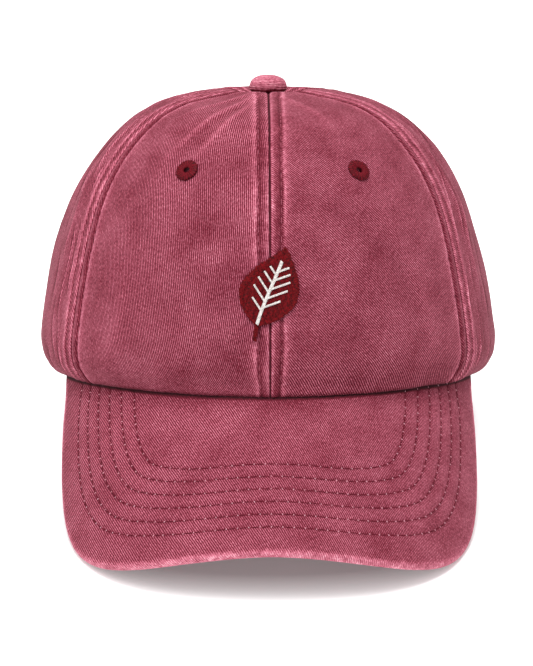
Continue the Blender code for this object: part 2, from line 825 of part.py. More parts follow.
def build_cap():
    """Build every piece and lay the cap down."""
    clear_scene()
    cap = new_collection(CAP_NAME)
    cutters = new_collection(CUTTERS_NAME)
    rest = bpy.data.objects.new("cap_at_rest", None)
    cap.objects.link(rest)

    twill = screen_material("washed_twill", 160, 74, 92, 0.9)
    thread = screen_material("dark_thread", 128, 46, 58, 0.7)
    cotton = screen_material("band_cotton", 150, 66, 84, 0.9)
    brass = screen_material("aged_brass", 150, 120, 74, 0.4, 1.0)

    panels = build_crown(cap, cutters, rest, twill)
    build_eyelets(panels, cap, cutters, rest, thread)

    button = new_object("button", button_solid(), cap, rest, twill)
    button.location.z = button_seat()

    peak = new_object("peak", PeakForm().slab(), cap, rest, twill)
    bevel_edges(peak, PEAK_EDGE_RADIUS, 2)

    new_object("sweatband", sweatband_slab(), cap, rest, cotton)

    tail = CLASP_PLACE + CLASP_LENGTH / 2 + STRAP_TAIL
    new_object("strap", strap_slab(-strap_end(), tail, strap_depth), cap, rest, twill)
    tab_start = CLASP_PLACE + CLASP_LENGTH / 2 + CLEARANCE
    tab = strap_slab(tab_start, strap_end(), lambda distance: LAYER)
    new_object("strap_tab", tab, cap, rest, twill)

    clasp = new_object("clasp", clasp_solid(), cap, rest, brass)
    bevel_edges(clasp, CLASP_EDGE_RADIUS, 1)

    rest_on_table(rest, [thing for thing in cap.objects if thing.type == "MESH"])


build_cap()
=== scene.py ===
"""Looks of a washed cotton cap: twill panels, stitching, sewn air holes and strap.

Units are metres. Each piece is shaped in the cap's own frame, with the crown's
edge in the plane z = 0 and the peak along -Y, and is then laid down with the
cap. Angles run around the crown from the front, positive towards +X, and a
level runs from 0 at the crown's edge to 1 at its top.
"""

import logging
import math
from dataclasses import dataclass
from enum import Enum
from typing import Callable, NamedTuple, Optional, Sequence

import bmesh
import bpy
import numpy as np
from mathutils import Matrix, Vector, noise


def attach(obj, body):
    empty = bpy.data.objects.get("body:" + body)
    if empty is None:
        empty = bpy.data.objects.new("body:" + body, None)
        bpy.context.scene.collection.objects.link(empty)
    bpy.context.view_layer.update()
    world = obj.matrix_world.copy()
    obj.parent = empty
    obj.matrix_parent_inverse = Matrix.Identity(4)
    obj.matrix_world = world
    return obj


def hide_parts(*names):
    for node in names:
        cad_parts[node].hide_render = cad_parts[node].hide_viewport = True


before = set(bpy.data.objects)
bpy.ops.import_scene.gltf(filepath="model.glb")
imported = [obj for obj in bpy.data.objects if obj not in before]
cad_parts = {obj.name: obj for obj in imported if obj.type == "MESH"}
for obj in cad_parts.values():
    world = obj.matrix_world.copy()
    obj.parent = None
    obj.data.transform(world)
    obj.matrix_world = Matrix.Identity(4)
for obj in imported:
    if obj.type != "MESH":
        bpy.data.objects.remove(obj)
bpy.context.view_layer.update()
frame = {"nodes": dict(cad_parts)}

LOG = logging.getLogger("cap")
Array = np.ndarray

MM = 0.001
CLOTH = 0.0012
CLEARANCE = 0.0003
MERGE = 1e-6
ROOT = "root"


class Slot(Enum):
    """The record's material slots."""

    TWILL = "washed_twill"
    THREAD = "dark_thread"
    COTTON = "band_cotton"
    BRASS = "aged_brass"


class Held(Enum):
    """How a sheet of cloth is held."""

    STRETCHED = "stretched"
    FOLDED = "folded"


class Section(NamedTuple):
    """One level of the crown, as shares of its sizes, with its outline's powers."""

    up: float
    side: float
    front: float
    back: float
    front_round: float
    back_round: float


SECTIONS = (
    Section(0.000, 0.933, 0.990, 0.991, 1.84, 2.30),
    Section(0.025, 0.971, 0.994, 0.995, 1.88, 2.16),
    Section(0.060, 0.992, 0.998, 0.998, 1.94, 2.06),
    Section(0.110, 0.999, 1.000, 1.000, 1.98, 2.02),
    Section(0.180, 0.990, 0.995, 0.997, 2.00, 2.00),
    Section(0.300, 0.966, 0.970, 0.974, 2.00, 2.00),
    Section(0.450, 0.921, 0.928, 0.930, 2.00, 2.00),
    Section(0.600, 0.855, 0.862, 0.858, 2.00, 2.00),
    Section(0.720, 0.778, 0.782, 0.778, 2.00, 2.00),
    Section(0.820, 0.685, 0.686, 0.682, 2.00, 2.00),
    Section(0.900, 0.574, 0.572, 0.570, 2.00, 2.00),
    Section(0.955, 0.436, 0.434, 0.432, 2.00, 2.00),
    Section(0.985, 0.290, 0.288, 0.288, 2.00, 2.00),
    Section(0.993, 0.190, 0.188, 0.188, 2.00, 2.00),
    Section(0.974, 0.098, 0.098, 0.098, 2.00, 2.00),
    Section(0.970, 0.000, 0.000, 0.000, 2.00, 2.00),
)


class Fold(NamedTuple):
    """A soft fold: degrees around the crown, levels, and shares of the fold sizes."""

    angle: float
    lean: float
    low: float
    high: float
    width: float
    depth: float


FOLDS = (
    Fold(0.0, 0.0, 0.62, 1.00, 6.2, -1.6),
    Fold(69.0, 5.0, 0.12, 0.78, 0.8, 0.7),
    Fold(80.0, -6.0, 0.25, 0.92, 0.9, -0.6),
    Fold(97.0, -12.0, 0.20, 0.80, 1.3, 0.6),
    Fold(-68.0, -6.0, 0.15, 0.80, 0.9, 0.7),
    Fold(-79.0, 5.0, 0.30, 0.90, 0.9, -0.6),
    Fold(-96.0, 10.0, 0.05, 0.60, 1.3, 0.6),
    Fold(36.0, 6.0, 0.02, 0.50, 1.5, -0.4),
    Fold(-34.0, -4.0, 0.30, 0.85, 1.8, 0.4),
    Fold(150.0, 4.0, 0.40, 0.90, 1.6, -0.6),
    Fold(-146.0, -6.0, 0.45, 0.92, 1.5, 0.5),
)


class Crease(NamedTuple):
    """A worn line in the cloth, from one place on the crown to another."""

    angle_low: float
    level_low: float
    angle_high: float
    level_high: float
    width: float
    height: float
    wear: float


CREASES = (
    Crease(-38.0, 0.52, -14.0, 0.93, 0.0014, 0.00045, 0.50),
    Crease(-29.0, 0.50, -9.0, 0.90, 0.0013, 0.00040, 0.42),
    Crease(-44.0, 0.66, -20.0, 0.95, 0.0014, 0.00040, 0.42),
    Crease(-33.0, 0.54, -11.5, 0.90, 0.0016, -0.00045, 0.00),
    Crease(26.0, 0.62, 9.0, 0.92, 0.0018, 0.00035, 0.32),
    Crease(44.0, 0.08, 31.0, 0.46, 0.0034, 0.00035, 0.12),
    Crease(-47.0, 0.03, -40.0, 0.30, 0.0034, 0.00035, 0.12),
    Crease(-19.0, 0.02, -24.0, 0.22, 0.0040, -0.00030, 0.00),
    Crease(17.0, 0.02, 22.0, 0.25, 0.0040, -0.00030, 0.00),
)


class ReliefPoint(NamedTuple):
    """Stitched cloth beside its seam: millimetres away and up, its fading, and its painted shade.
    """

    away: float
    height: float
    wear: float
    shade: float


# The last column is painted shade: darkest in the seam's middle groove and in its stitch grooves.
SEAM_RELIEF = (
    ReliefPoint(0.0, -0.14, 0.00, 0.85),
    ReliefPoint(0.3, 0.00, 0.05, 0.50),
    ReliefPoint(0.7, 0.26, 0.60, 0.00),
    ReliefPoint(1.2, 0.52, 0.45, 0.00),
    ReliefPoint(2.1, 0.62, 0.14, 0.12),
    ReliefPoint(3.2, 0.56, 0.12, 0.20),
    ReliefPoint(3.9, 0.20, 0.05, 0.30),
    ReliefPoint(4.5, -0.24, 0.05, 0.38),
    ReliefPoint(5.1, 0.04, 0.25, 0.14),
    ReliefPoint(5.8, 0.32, 0.62, 0.00),
    ReliefPoint(6.8, 0.24, 0.26, 0.00),
    ReliefPoint(8.5, 0.08, 0.06, 0.00),
    ReliefPoint(11.0, 0.00, 0.00, 0.00),
)
# The last column here is painted shade in the hem's stitch grooves.
HEM_RELIEF = (
    ReliefPoint(0.0, 0.05, 0.70, 0.00),
    ReliefPoint(0.8, 0.45, 0.50, 0.00),
    ReliefPoint(1.5, 0.18, 0.10, 0.45),
    ReliefPoint(2.4, 0.50, 0.18, 0.00),
    ReliefPoint(7.6, 0.45, 0.10, 0.00),
    ReliefPoint(8.6, -0.12, 0.00, 0.50),
    ReliefPoint(9.8, 0.12, 0.40, 0.00),
    ReliefPoint(12.0, 0.00, 0.00, 0.00),
)


def smooth_curve(keys: Array, values: Array, at: Array) -> Array:
    """Read a smooth curve through a table, without overshoot.

    Args:
        keys: rising places of the table's rows.
        values: the table's values there.
        at: places to read.

    Returns:
        The values at those places.
    """
    step = np.diff(keys)
    rise = np.diff(values) / step
    product = rise[:-1] * rise[1:]
    total = np.where(product > 0, rise[:-1] + rise[1:], 1.0)
    inner = np.where(product > 0, 2 * product / total, 0.0)
    slope = np.concatenate(([rise[0]], inner, [rise[-1]]))
    i = np.clip(np.searchsorted(keys, at) - 1, 0, len(step) - 1)
    x = (at - keys[i]) / step[i]
    start = values[i] * (1 + 2 * x) * (1 - x) ** 2 + slope[i] * step[i] * x * (1 - x) ** 2
    end = values[i + 1] * x * x * (3 - 2 * x) + slope[i + 1] * step[i] * x * x * (x - 1)
    return start + end


def signed_power(value: Array, power: Array) -> Array:
    """Return a power of numbers that keeps their signs."""
    return np.sign(value) * np.abs(value) ** power


def turned_between(angle: Array, centre: Array) -> Array:
    """Return the turn from one angle to another, within half a turn."""
    return (angle - centre + math.pi) % (2 * math.pi) - math.pi


def smooth_step(low: float, high: float, at: Array) -> Array:
    """Return a soft step from 0 at low to 1 at high."""
    x = np.clip((at - low) / (high - low), 0.0, 1.0)
    return x * x * (3 - 2 * x)


def roughness_at(points: Array, size: float, seed: float) -> Array:
    """Read a noise field, about -1 to 1.

    Args:
        points: places, one row each, in metres.
        size: how large the noise's lumps are, in metres.
        seed: a shift that picks another noise.

    Returns:
        One value for each place.
    """
    shifted = points / size + seed
    return np.array([noise.noise(Vector(p)) for p in shifted])


def relief_at(table: Sequence[ReliefPoint], away: Array) -> tuple[Array, Array, Array]:
    """Read a relief table.

    Args:
        table: the relief's rows.
        away: distances in metres.

    Returns:
        Height in metres, wear and painted shade at each distance.
    """
    columns = np.array(table).T
    at = np.clip(away / MM, 0.0, columns[0][-1])
    height, wear, shade = (smooth_curve(columns[0], column, at) for column in columns[1:])
    return height * MM, wear, shade


def ways_along(line: Array) -> Array:
    """Return how far along a line each of its points lies."""
    steps = np.linalg.norm(np.diff(line, axis=0), axis=1)
    return np.concatenate(([0.0], np.cumsum(steps)))


def read_line(line: Array, ways: Array, reads: Array) -> Array:
    """Return a line's points at ways along it, one row each."""
    return np.stack([np.interp(reads, ways, column) for column in line.T], axis=-1)


@dataclass(frozen=True)
class CapRest:
    """How the cap lies on the table: its tilt and its place."""

    tilt: float = -0.27967629
    back: float = 0.02801786
    up: float = 0.02623915

    def matrix(self) -> Matrix:
        """Return the way from the cap's frame to the table's."""
        return Matrix.Translation((0.0, self.back, self.up)) @ Matrix.Rotation(self.tilt, 4, "X")


REST = CapRest().matrix()


@dataclass
class CrownForm:
    """The crown's shape, read at an angle and a level."""

    height: float = 0.1108
    half_width: float = 0.0900
    front_reach: float = 0.0995
    back_reach: float = 0.0995
    front_seam: float = math.radians(57.5)
    back_seam: float = math.radians(119.0)
    swing: float = math.radians(2.5)
    swing_at: float = 0.50
    swing_reach: float = 0.18
    seam_draw: float = 0.0012
    fold_width: float = 0.0060
    fold_depth: float = 0.0018
    samples: int = 2400
    probe: float = 0.002

    def __post_init__(self) -> None:
        """Measure the way from the edge to the top, and sample the sections."""
        table = np.array(SECTIONS)
        climb = np.diff(table[:, 0]) * self.height
        inward = np.diff(table[:, 1]) * self.half_width
        keys = np.concatenate(([0.0], np.cumsum(np.hypot(climb, inward))))
        self.length = float(keys[-1])
        self.places = np.linspace(0.0, 1.0, self.samples)
        keys = keys / keys[-1]
        self.columns = [smooth_curve(keys, column, self.places) for column in table.T]
        front, back = self.front_seam, self.back_seam
        self.seams = (0.0, front, back, math.pi, -back, -front)

    def section(self, level: Array) -> Section:
        """Return the crown's sections at levels, each field an array."""
        return Section(*(np.interp(level, self.places, column) for column in self.columns))

    def level_of_height(self, height: Array) -> Array:
        """Return the levels at which the crown has heights."""
        rising = self.samples * 3 // 4
        return np.interp(height / self.height, self.columns[0][:rising], self.places[:rising])

    def level_of_radius(self, radius: float) -> float:
        """Return the level at which the crown has closed to a radius."""
        return float(np.interp(radius / self.half_width, self.columns[1][::-1], self.places[::-1]))

    def skin(self, angle: Array, level: Array) -> Array:
        """Return points of the plain form, one row each."""
        section = self.section(level)
        in_front = np.cos(angle) > 0
        power = 2 / np.where(in_front, section.front_round, section.back_round)
        reach = np.where(in_front, self.front_reach * section.front, self.back_reach * section.back)
        across = signed_power(np.sin(angle), power) * self.half_width * section.side
        forward = signed_power(np.cos(angle), power) * reach
        up = CLEARANCE + self.height * section.up
        return np.stack((across, -forward, up), axis=-1)

    def normal(self, angle: Array, level: Array) -> Array:
        """Return outward normals, one row each."""
        around = self.skin(angle + self.probe, level) - self.skin(angle - self.probe, level)
        high = self.skin(angle, np.minimum(level + self.probe, 1.0))
        low = self.skin(angle, np.maximum(level - self.probe, 0.0))
        normal = np.cross(around, high - low)
        return normal / np.linalg.norm(normal, axis=-1, keepdims=True)

    def radius(self, level: Array) -> Array:
        """Return the crown's mean radius at levels."""
        section = self.section(level)
        reach = (self.front_reach * section.front + self.back_reach * section.back) / 2
        return (self.half_width * section.side + reach) / 2

    def seam_angle(self, seam: float, level: Array) -> Array:
        """Return where a seam runs at levels, with the swing of the front ones."""
        if abs(abs(seam) - self.front_seam) > self.probe:
            return np.full(np.shape(level), seam)
        away = (level - self.swing_at) / self.swing_reach
        return seam + math.copysign(self.swing, seam) * np.exp(-away * away)

    def offset(self, angle: Array, level: Array) -> Array:
        """Return how far folds push the cloth out and seams draw it in."""
        total = np.zeros(np.shape(angle))
        radius = self.radius(level)
        for fold in FOLDS:
            share = np.clip((level - fold.low) / (fold.high - fold.low), 0.0, 1.0)
            centre = np.radians(fold.angle + fold.lean * share)
            aside = turned_between(angle, centre) * radius / (fold.width * self.fold_width)
            swell = np.exp(-aside * aside) * np.sin(math.pi * share) ** 2
            total += self.fold_depth * fold.depth * swell
        turns = [np.abs(turned_between(angle, self.seam_angle(seam, level))) for seam in self.seams]
        turns = np.sort(np.array(turns), axis=0)
        share = turns[0] / (turns[0] + turns[1])
        fullness = np.sqrt(np.abs(np.sin(math.pi * np.minimum(1.0, share))))
        draw = self.seam_draw * (1 - fullness)
        return total - draw * np.sqrt(np.sin(math.pi * np.clip(level, 0.0, 1.0)))

    def point(self, angle: Array, level: Array, lift: Array) -> Array:
        """Return points at distances outside the folded cloth, one row each."""
        out = lift + self.offset(angle, level)
        return self.skin(angle, level) + self.normal(angle, level) * np.asarray(out)[..., None]

    def back_angle(self, across: Array, level: Array) -> Array:
        """Return the angles behind at which the crown has places across."""
        section = self.section(level)
        share = np.clip(across / (self.half_width * section.side), -1.0, 1.0)
        return math.pi - np.arcsin(signed_power(share, section.back_round / 2))


CROWN = CrownForm()


def to_table(points: Array) -> Array:
    """Lay points of the cap's frame down with the cap."""
    turn = np.array(REST.to_3x3())
    return points @ turn.T + np.array(REST.translation)


class Cloth(NamedTuple):
    """What a sheet's corners are given: place, flat pattern, wear and painted shade."""

    points: Array
    pattern: Array
    wear: Array
    shade: Array


def corners_of(mesh: bpy.types.Mesh) -> Array:
    """Return a mesh's corners, one row each."""
    flat = np.zeros(len(mesh.vertices) * 3)
    mesh.vertices.foreach_get("co", flat)
    return flat.reshape(-1, 3)


def mesh_from(shape: bmesh.types.BMesh, name: str) -> bpy.types.Mesh:
    """Make a worked shape a mesh, and free the shape."""
    mesh = bpy.data.meshes.new(name)
    shape.to_mesh(mesh)
    shape.free()
    return mesh


def spun(outline: Sequence[tuple[float, float]], steps: int) -> bmesh.types.BMesh:
    """Turn an outline of radii and heights around Z, its doubles merged."""
    shape = bmesh.new()
    corners = [shape.verts.new((radius, 0.0, height)) for radius, height in outline]
    for low, high in zip(corners, corners[1:]):
        shape.edges.new((low, high))
    bmesh.ops.spin(
        shape,
        geom=shape.verts[:] + shape.edges[:],
        cent=(0.0, 0.0, 0.0),
        axis=(0.0, 0.0, 1.0),
        angle=2 * math.pi,
        steps=steps,
        use_merge=True,
    )
    bmesh.ops.remove_doubles(shape, verts=shape.verts[:], dist=MERGE)
    return shape


def face_outwards(shape: bmesh.types.BMesh) -> None:
    """Turn the faces of a closed shape outwards."""
    bmesh.ops.recalc_face_normals(shape, faces=shape.faces[:])
    if shape.calc_volume(signed=True) < 0:
        bmesh.ops.reverse_faces(shape, faces=shape.faces[:])


def finished_object(
    name: str, mesh: bpy.types.Mesh, finish: "Finish"
) -> bpy.types.Object:
    """Make a piece that rides with the cap.

    Args:
        name: the piece's name.
        mesh: its mesh, in the table's frame.
        finish: what it is made of.

    Returns:
        The new object.
    """
    mesh.shade_smooth()
    mesh.materials.append(finish.material())
    piece = bpy.data.objects.new(name, mesh)
    bpy.context.scene.collection.objects.link(piece)
    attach(piece, ROOT)
    return piece


def cloth_mesh(
    name: str, columns: int, rows: int, place: Callable[[Array, Array], Cloth]
) -> bpy.types.Mesh:
    """Shape a net of cells into a sheet.

    Args:
        name: the mesh's name.
        columns: cells across.
        rows: cells along.
        place: gives the corners' places from their column and row numbers.

    Returns:
        The sheet's mesh, with a flat pattern as its UV map, wear and painted shade.
    """
    net = bmesh.new()
    bmesh.ops.create_grid(net, x_segments=columns, y_segments=rows, size=0.5)
    mesh = mesh_from(net, name)
    flat = corners_of(mesh)
    column = np.rint((flat[:, 0] + 0.5) * columns).astype(int)
    row = np.rint((flat[:, 1] + 0.5) * rows).astype(int)
    lay_cloth(mesh, place(column, row))
    return mesh


def lay_cloth(mesh: bpy.types.Mesh, cloth: Cloth) -> None:
    """Give a mesh its corners' places, flat pattern, wear and painted shade."""
    mesh.vertices.foreach_set("co", to_table(cloth.points).ravel())
    corner = np.zeros(len(mesh.loops), dtype=int)
    mesh.loops.foreach_get("vertex_index", corner)
    pattern = mesh.uv_layers.new(name="pattern")
    pattern.data.foreach_set("uv", cloth.pattern[corner].ravel())
    # The first attribute is real wear, the second painted shade.
    for name, values in (("wear", cloth.wear), ("shade", cloth.shade)):
        layer = mesh.attributes.new(name, "FLOAT", "POINT")
        layer.data.foreach_set("value", np.clip(values, 0.0, 1.5))
    mesh.update()


def thicken(piece: bpy.types.Object, thickness: float) -> None:
    """Give a sheet its thickness, inwards from its outer face."""
    wall = piece.modifiers.new("wall", "SOLIDIFY")
    wall.thickness = thickness
    wall.offset = -1.0


class NodeTree:
    """A tree of shader nodes with short ways to add to it."""

    def __init__(self, tree: bpy.types.NodeTree) -> None:
        """Take the tree to add to."""
        self.tree = tree

    def add(self, kind: str, values: Optional[dict] = None, **settings: object) -> bpy.types.Node:
        """Add a node.

        Args:
            kind: the node's type, without its ShaderNode prefix.
            values: its inputs by name or number: numbers, or sockets to link.
            settings: the node's own settings.

        Returns:
            The new node.
        """
        node = self.tree.nodes.new(kind if kind.startswith("Node") else "ShaderNode" + kind)
        for name, value in settings.items():
            setattr(node, name, value)
        self.feed(node, values or {})
        return node

    def feed(self, node: bpy.types.Node, values: dict) -> None:
        """Set or link a node's inputs, given by name or number."""
        for key, value in values.items():
            if isinstance(value, bpy.types.NodeSocket):
                self.tree.links.new(value, node.inputs[key])
            else:
                node.inputs[key].default_value = value

    def math(self, operation: str, *values: object, clamp: bool = False) -> bpy.types.NodeSocket:
        """Add a Math node and return its result."""
        numbered = dict(enumerate(values))
        return self.add("Math", numbered, operation=operation, use_clamp=clamp).outputs[0]

    def weighted(self, *terms: tuple[object, float]) -> bpy.types.NodeSocket:
        """Return the sum of sockets times their weights."""
        total = None
        for value, weight in terms:
            total = self.math("MULTIPLY_ADD", value, weight, 0.0 if total is None else total)
        return total

    def scaled(
        self, place: bpy.types.NodeSocket, factors: tuple[float, float, float]
    ) -> bpy.types.NodeSocket:
        """Return a place times a factor on each axis."""
        return self.add("VectorMath", {0: place, 1: factors}, operation="MULTIPLY").outputs[0]

    def ramp(
        self, value: bpy.types.NodeSocket, *stops: tuple[float, tuple]
    ) -> bpy.types.NodeSocket:
        """Return a value's colour on a ramp of places and linear colours."""
        node = self.add("ValToRGB", {0: value})
        ends = node.color_ramp.elements
        first, *middle, last = stops
        ends[0].position, ends[0].color = first
        ends[1].position, ends[1].color = last
        for place, colour in middle:
            ends.new(place).color = colour
        return node.outputs[0]

    def bump(
        self, height: bpy.types.NodeSocket, strength: float, distance: float
    ) -> bpy.types.NodeSocket:
        """Return the normals of a surface that a height pushes out."""
        values = {"Height": height, "Strength": strength, "Distance": distance}
        return self.add("Bump", values).outputs[0]

    def noise(
        self, place: bpy.types.NodeSocket, size: float, detail: float, rough: float
    ) -> bpy.types.NodeSocket:
        """Return a noise of a size in metres, about 0 to 1."""
        values = {"Vector": place, "Scale": 1 / size, "Detail": detail, "Roughness": rough}
        return self.add("TexNoise", values).outputs["Fac"]


def screen_colour(red: float, green: float, blue: float) -> tuple[float, float, float, float]:
    """Return the linear colour of one given as 0 to 255 on screen."""
    linear = [((c / 255 + 0.055) / 1.055) ** 2.4 for c in (red, green, blue)]
    return (*linear, 1.0)


class WeaveGroup:
    """The twill weave as one shader group that each cloth uses."""

    NAME = "twill_weave"

    @classmethod
    def tree(cls) -> bpy.types.NodeTree:
        """Return the group, built the first time."""
        if cls.NAME in bpy.data.node_groups:
            return bpy.data.node_groups[cls.NAME]
        group = bpy.data.node_groups.new(cls.NAME, "ShaderNodeTree")
        face = group.interface
        face.new_socket("Pattern", in_out="INPUT", socket_type="NodeSocketVector")
        for name in ("Slant", "Pitch"):
            face.new_socket(name, in_out="INPUT", socket_type="NodeSocketFloat")
        for name in ("Rib", "Fleck", "Wash", "Height"):
            face.new_socket(name, in_out="OUTPUT", socket_type="NodeSocketFloat")
        cls.fill(NodeTree(group))
        return group

    @staticmethod
    def fill(nodes: NodeTree) -> None:
        """Lay out the weave: ribs, their floats, flecks of fibre and the wash."""
        given = nodes.add("NodeGroupInput").outputs
        turned = nodes.add(
            "VectorRotate",
            {"Vector": given["Pattern"], "Angle": given["Slant"]},
            rotation_type="Z_AXIS",
        ).outputs[0]
        parts = nodes.add("SeparateXYZ", {0: turned}).outputs
        waver = nodes.noise(given["Pattern"], 5.5 * MM, 3.0, 0.6)
        turn = nodes.math("DIVIDE", 2 * math.pi, given["Pitch"])
        phase = nodes.math("MULTIPLY_ADD", parts["X"], turn, nodes.math("MULTIPLY", waver, 4.2))
        rib = nodes.math("MULTIPLY_ADD", nodes.math("SINE", phase), 0.5, 0.5)
        along = nodes.math("MULTIPLY_ADD", parts["Y"], nodes.math("MULTIPLY", turn, 1.45), phase)
        floats = nodes.math("MULTIPLY_ADD", nodes.math("SINE", along), 0.20, 0.80)
        worn = nodes.noise(given["Pattern"], 17 * MM, 3.0, 0.6)
        worn = nodes.math("MULTIPLY_ADD", worn, 2.4, -0.45, clamp=True)
        worn = nodes.math("MULTIPLY_ADD", worn, 0.45, 0.55)
        rib = nodes.math("MULTIPLY", nodes.math("MULTIPLY", rib, floats), worn)
        stretched = nodes.scaled(turned, (1.0, 0.55, 1.0))
        fleck = nodes.noise(stretched, 0.62 * MM, 2.0, 0.70)
        wash = nodes.noise(given["Pattern"], 24 * MM, 7.0, 0.66)
        height = nodes.weighted((rib, 0.75), (fleck, 0.45))
        made = {"Rib": rib, "Fleck": fleck, "Wash": wash, "Height": height}
        nodes.add("NodeGroupOutput", made)


class Finish:
    """A finish that is built once as a material."""

    name: str

    def material(self) -> bpy.types.Material:
        """Return the finish's material, built the first time."""
        if self.name in bpy.data.materials and bpy.data.materials[self.name].get("built"):
            return bpy.data.materials[self.name]
        material = bpy.data.materials.new(self.name)
        material.use_nodes = True
        material["built"] = True
        nodes = NodeTree(material.node_tree)
        self.dress(nodes, material.node_tree.nodes["Principled BSDF"])
        return material

    def dress(self, nodes: NodeTree, shader: bpy.types.Node) -> None:
        """Lay out the nodes that feed the shader."""
        raise NotImplementedError


@dataclass(frozen=True)
class WashedTwill(Finish):
    """Twill dyed with pigment and washed until its edges and ribs faded."""

    name: str
    slant: float
    pitch: float = 0.00078
    # The darkest stop: the deepest flecks of dye, and the colour that painted shade darkens
    # towards.
    deep: tuple = (42, 1, 10)
    dyed: tuple = (100, 22, 39)
    faded: tuple = (192, 107, 126)
    bare: tuple = (216, 152, 166)
    rib: float = 0.66
    fleck: float = 0.78
    wash: float = 0.17
    level: float = 0.445

    STOPS = (0.46, 0.88)
    RIB_MEAN = 0.31
    FLATTENED = 0.8
    RUBBED = 0.55
    SHADED = 0.42
    SHEEN = (236, 160, 176)

    def dress(self, nodes: NodeTree, shader: bpy.types.Node) -> None:
        """Mix the dye by weave, wash and wear, darken it with painted shade, and raise the ribs."""
        pattern = nodes.add("UVMap", uv_map="pattern").outputs[0]
        weave = nodes.add(
            "Group",
            {"Pattern": pattern, "Slant": self.slant, "Pitch": self.pitch},
            node_tree=WeaveGroup.tree(),
        ).outputs
        wear = nodes.add("Attribute", attribute_name="wear").outputs["Fac"]
        # Painted shade: darkening where shadow falls, in grooves and dips and under edges.
        shade = nodes.add("Attribute", attribute_name="shade").outputs["Fac"]
        broken = nodes.noise(pattern, 2.4 * MM, 4.0, 0.7)
        broken = nodes.math("MULTIPLY_ADD", broken, 1.7, -0.1, clamp=True)
        rubbed = nodes.math("MULTIPLY", wear, broken)
        raised = nodes.math("MULTIPLY_ADD", weave["Rib"], 0.3, 0.9)
        rubbed = nodes.math("MULTIPLY", rubbed, raised)
        marked = nodes.math("ADD", wear, shade, clamp=True)
        flat = nodes.math("MULTIPLY_ADD", marked, -self.FLATTENED, 1.0)
        centred = nodes.math("ADD", weave["Rib"], -self.RIB_MEAN)
        tone = nodes.weighted(
            (nodes.math("MULTIPLY", centred, flat), self.rib),
            (weave["Fleck"], self.fleck),
            (weave["Wash"], self.wash),
            (rubbed, self.RUBBED),
            # Painted shade pulls the tone down towards the darkest stop.
            (shade, -self.SHADED),
        )
        start = self.level - (self.fleck * 0.5 + self.wash * 0.5)
        tone = nodes.math("ADD", tone, start, clamp=True)
        places = (0.0, *self.STOPS, 1.0)
        dyes = (self.deep, self.dyed, self.faded, self.bare)
        stops = [(place, screen_colour(*dye)) for place, dye in zip(places, dyes)]
        values = {
            "Base Color": nodes.ramp(tone, *stops),
            "Normal": nodes.bump(weave["Height"], 0.55, 0.00016),
            "Roughness": 0.93,
            "Specular IOR Level": 0.18,
            "Sheen Weight": 0.05,
            "Sheen Roughness": 0.45,
            "Sheen Tint": screen_colour(*self.SHEEN),
        }
        nodes.feed(shader, values)


@dataclass(frozen=True)
class Thread(Finish):
    """Twisted sewing thread with a slight gloss."""

    name: str
    dark: tuple
    light: tuple
    twists: float = 5.0
    fibre: float = 2.0
    gloss: float = 0.58

    STRAND = 0.30
    LEVEL = 0.35

    def dress(self, nodes: NodeTree, shader: bpy.types.Node) -> None:
        """Wind the strands around the thread and vary them along it."""
        place = nodes.add("UVMap", uv_map="pattern").outputs[0]
        parts = nodes.add("SeparateXYZ", {0: place}).outputs
        wound = nodes.math("MULTIPLY", parts["X"], 2 * math.pi * self.twists)
        wound = nodes.math("MULTIPLY_ADD", parts["Y"], 4 * math.pi, wound)
        strand = nodes.math("MULTIPLY_ADD", nodes.math("SINE", wound), 0.5, 0.5)
        solid = nodes.add("TexCoord").outputs["Object"]
        fibre = nodes.noise(solid, 0.8 * MM, 2.0, 0.6)
        tone = nodes.weighted((strand, self.STRAND), (fibre, self.fibre))
        tone = nodes.math("ADD", tone, self.LEVEL - self.fibre / 2, clamp=True)
        stops = ((0.0, screen_colour(*self.dark)), (1.0, screen_colour(*self.light)))
        values = {
            "Base Color": nodes.ramp(tone, *stops),
            "Normal": nodes.bump(strand, 0.5, 0.00008),
            "Roughness": self.gloss,
            "Specular IOR Level": 0.08,
        }
        nodes.feed(shader, values)


@dataclass(frozen=True)
class AgedBrass(Finish):
    """Brushed brass with a mottled patina, dull in places and brighter in others."""

    name: str = "brushed_aged_brass"

    DULL = (86, 66, 40)
    BRIGHT = (196, 164, 110)

    def dress(self, nodes: NodeTree, shader: bpy.types.Node) -> None:
        """Brush the metal along X and mottle its patina."""
        solid = nodes.add("TexCoord").outputs["Object"]
        drawn = nodes.scaled(solid, (0.06, 1.0, 1.0))
        brushed = nodes.noise(drawn, 0.35 * MM, 3.0, 0.6)
        patina = nodes.noise(solid, 3.5 * MM, 5.0, 0.65)
        tone = nodes.weighted((brushed, 0.4), (patina, 1.3))
        tone = nodes.math("ADD", tone, -0.35, clamp=True)
        stops = ((0.0, screen_colour(*self.DULL)), (1.0, screen_colour(*self.BRIGHT)))
        values = {
            "Base Color": nodes.ramp(tone, *stops),
            "Roughness": nodes.math("MULTIPLY_ADD", patina, 0.35, 0.22),
            "Normal": nodes.bump(brushed, 0.3, 0.00005),
            "Metallic": 1.0,
        }
        nodes.feed(shader, values)


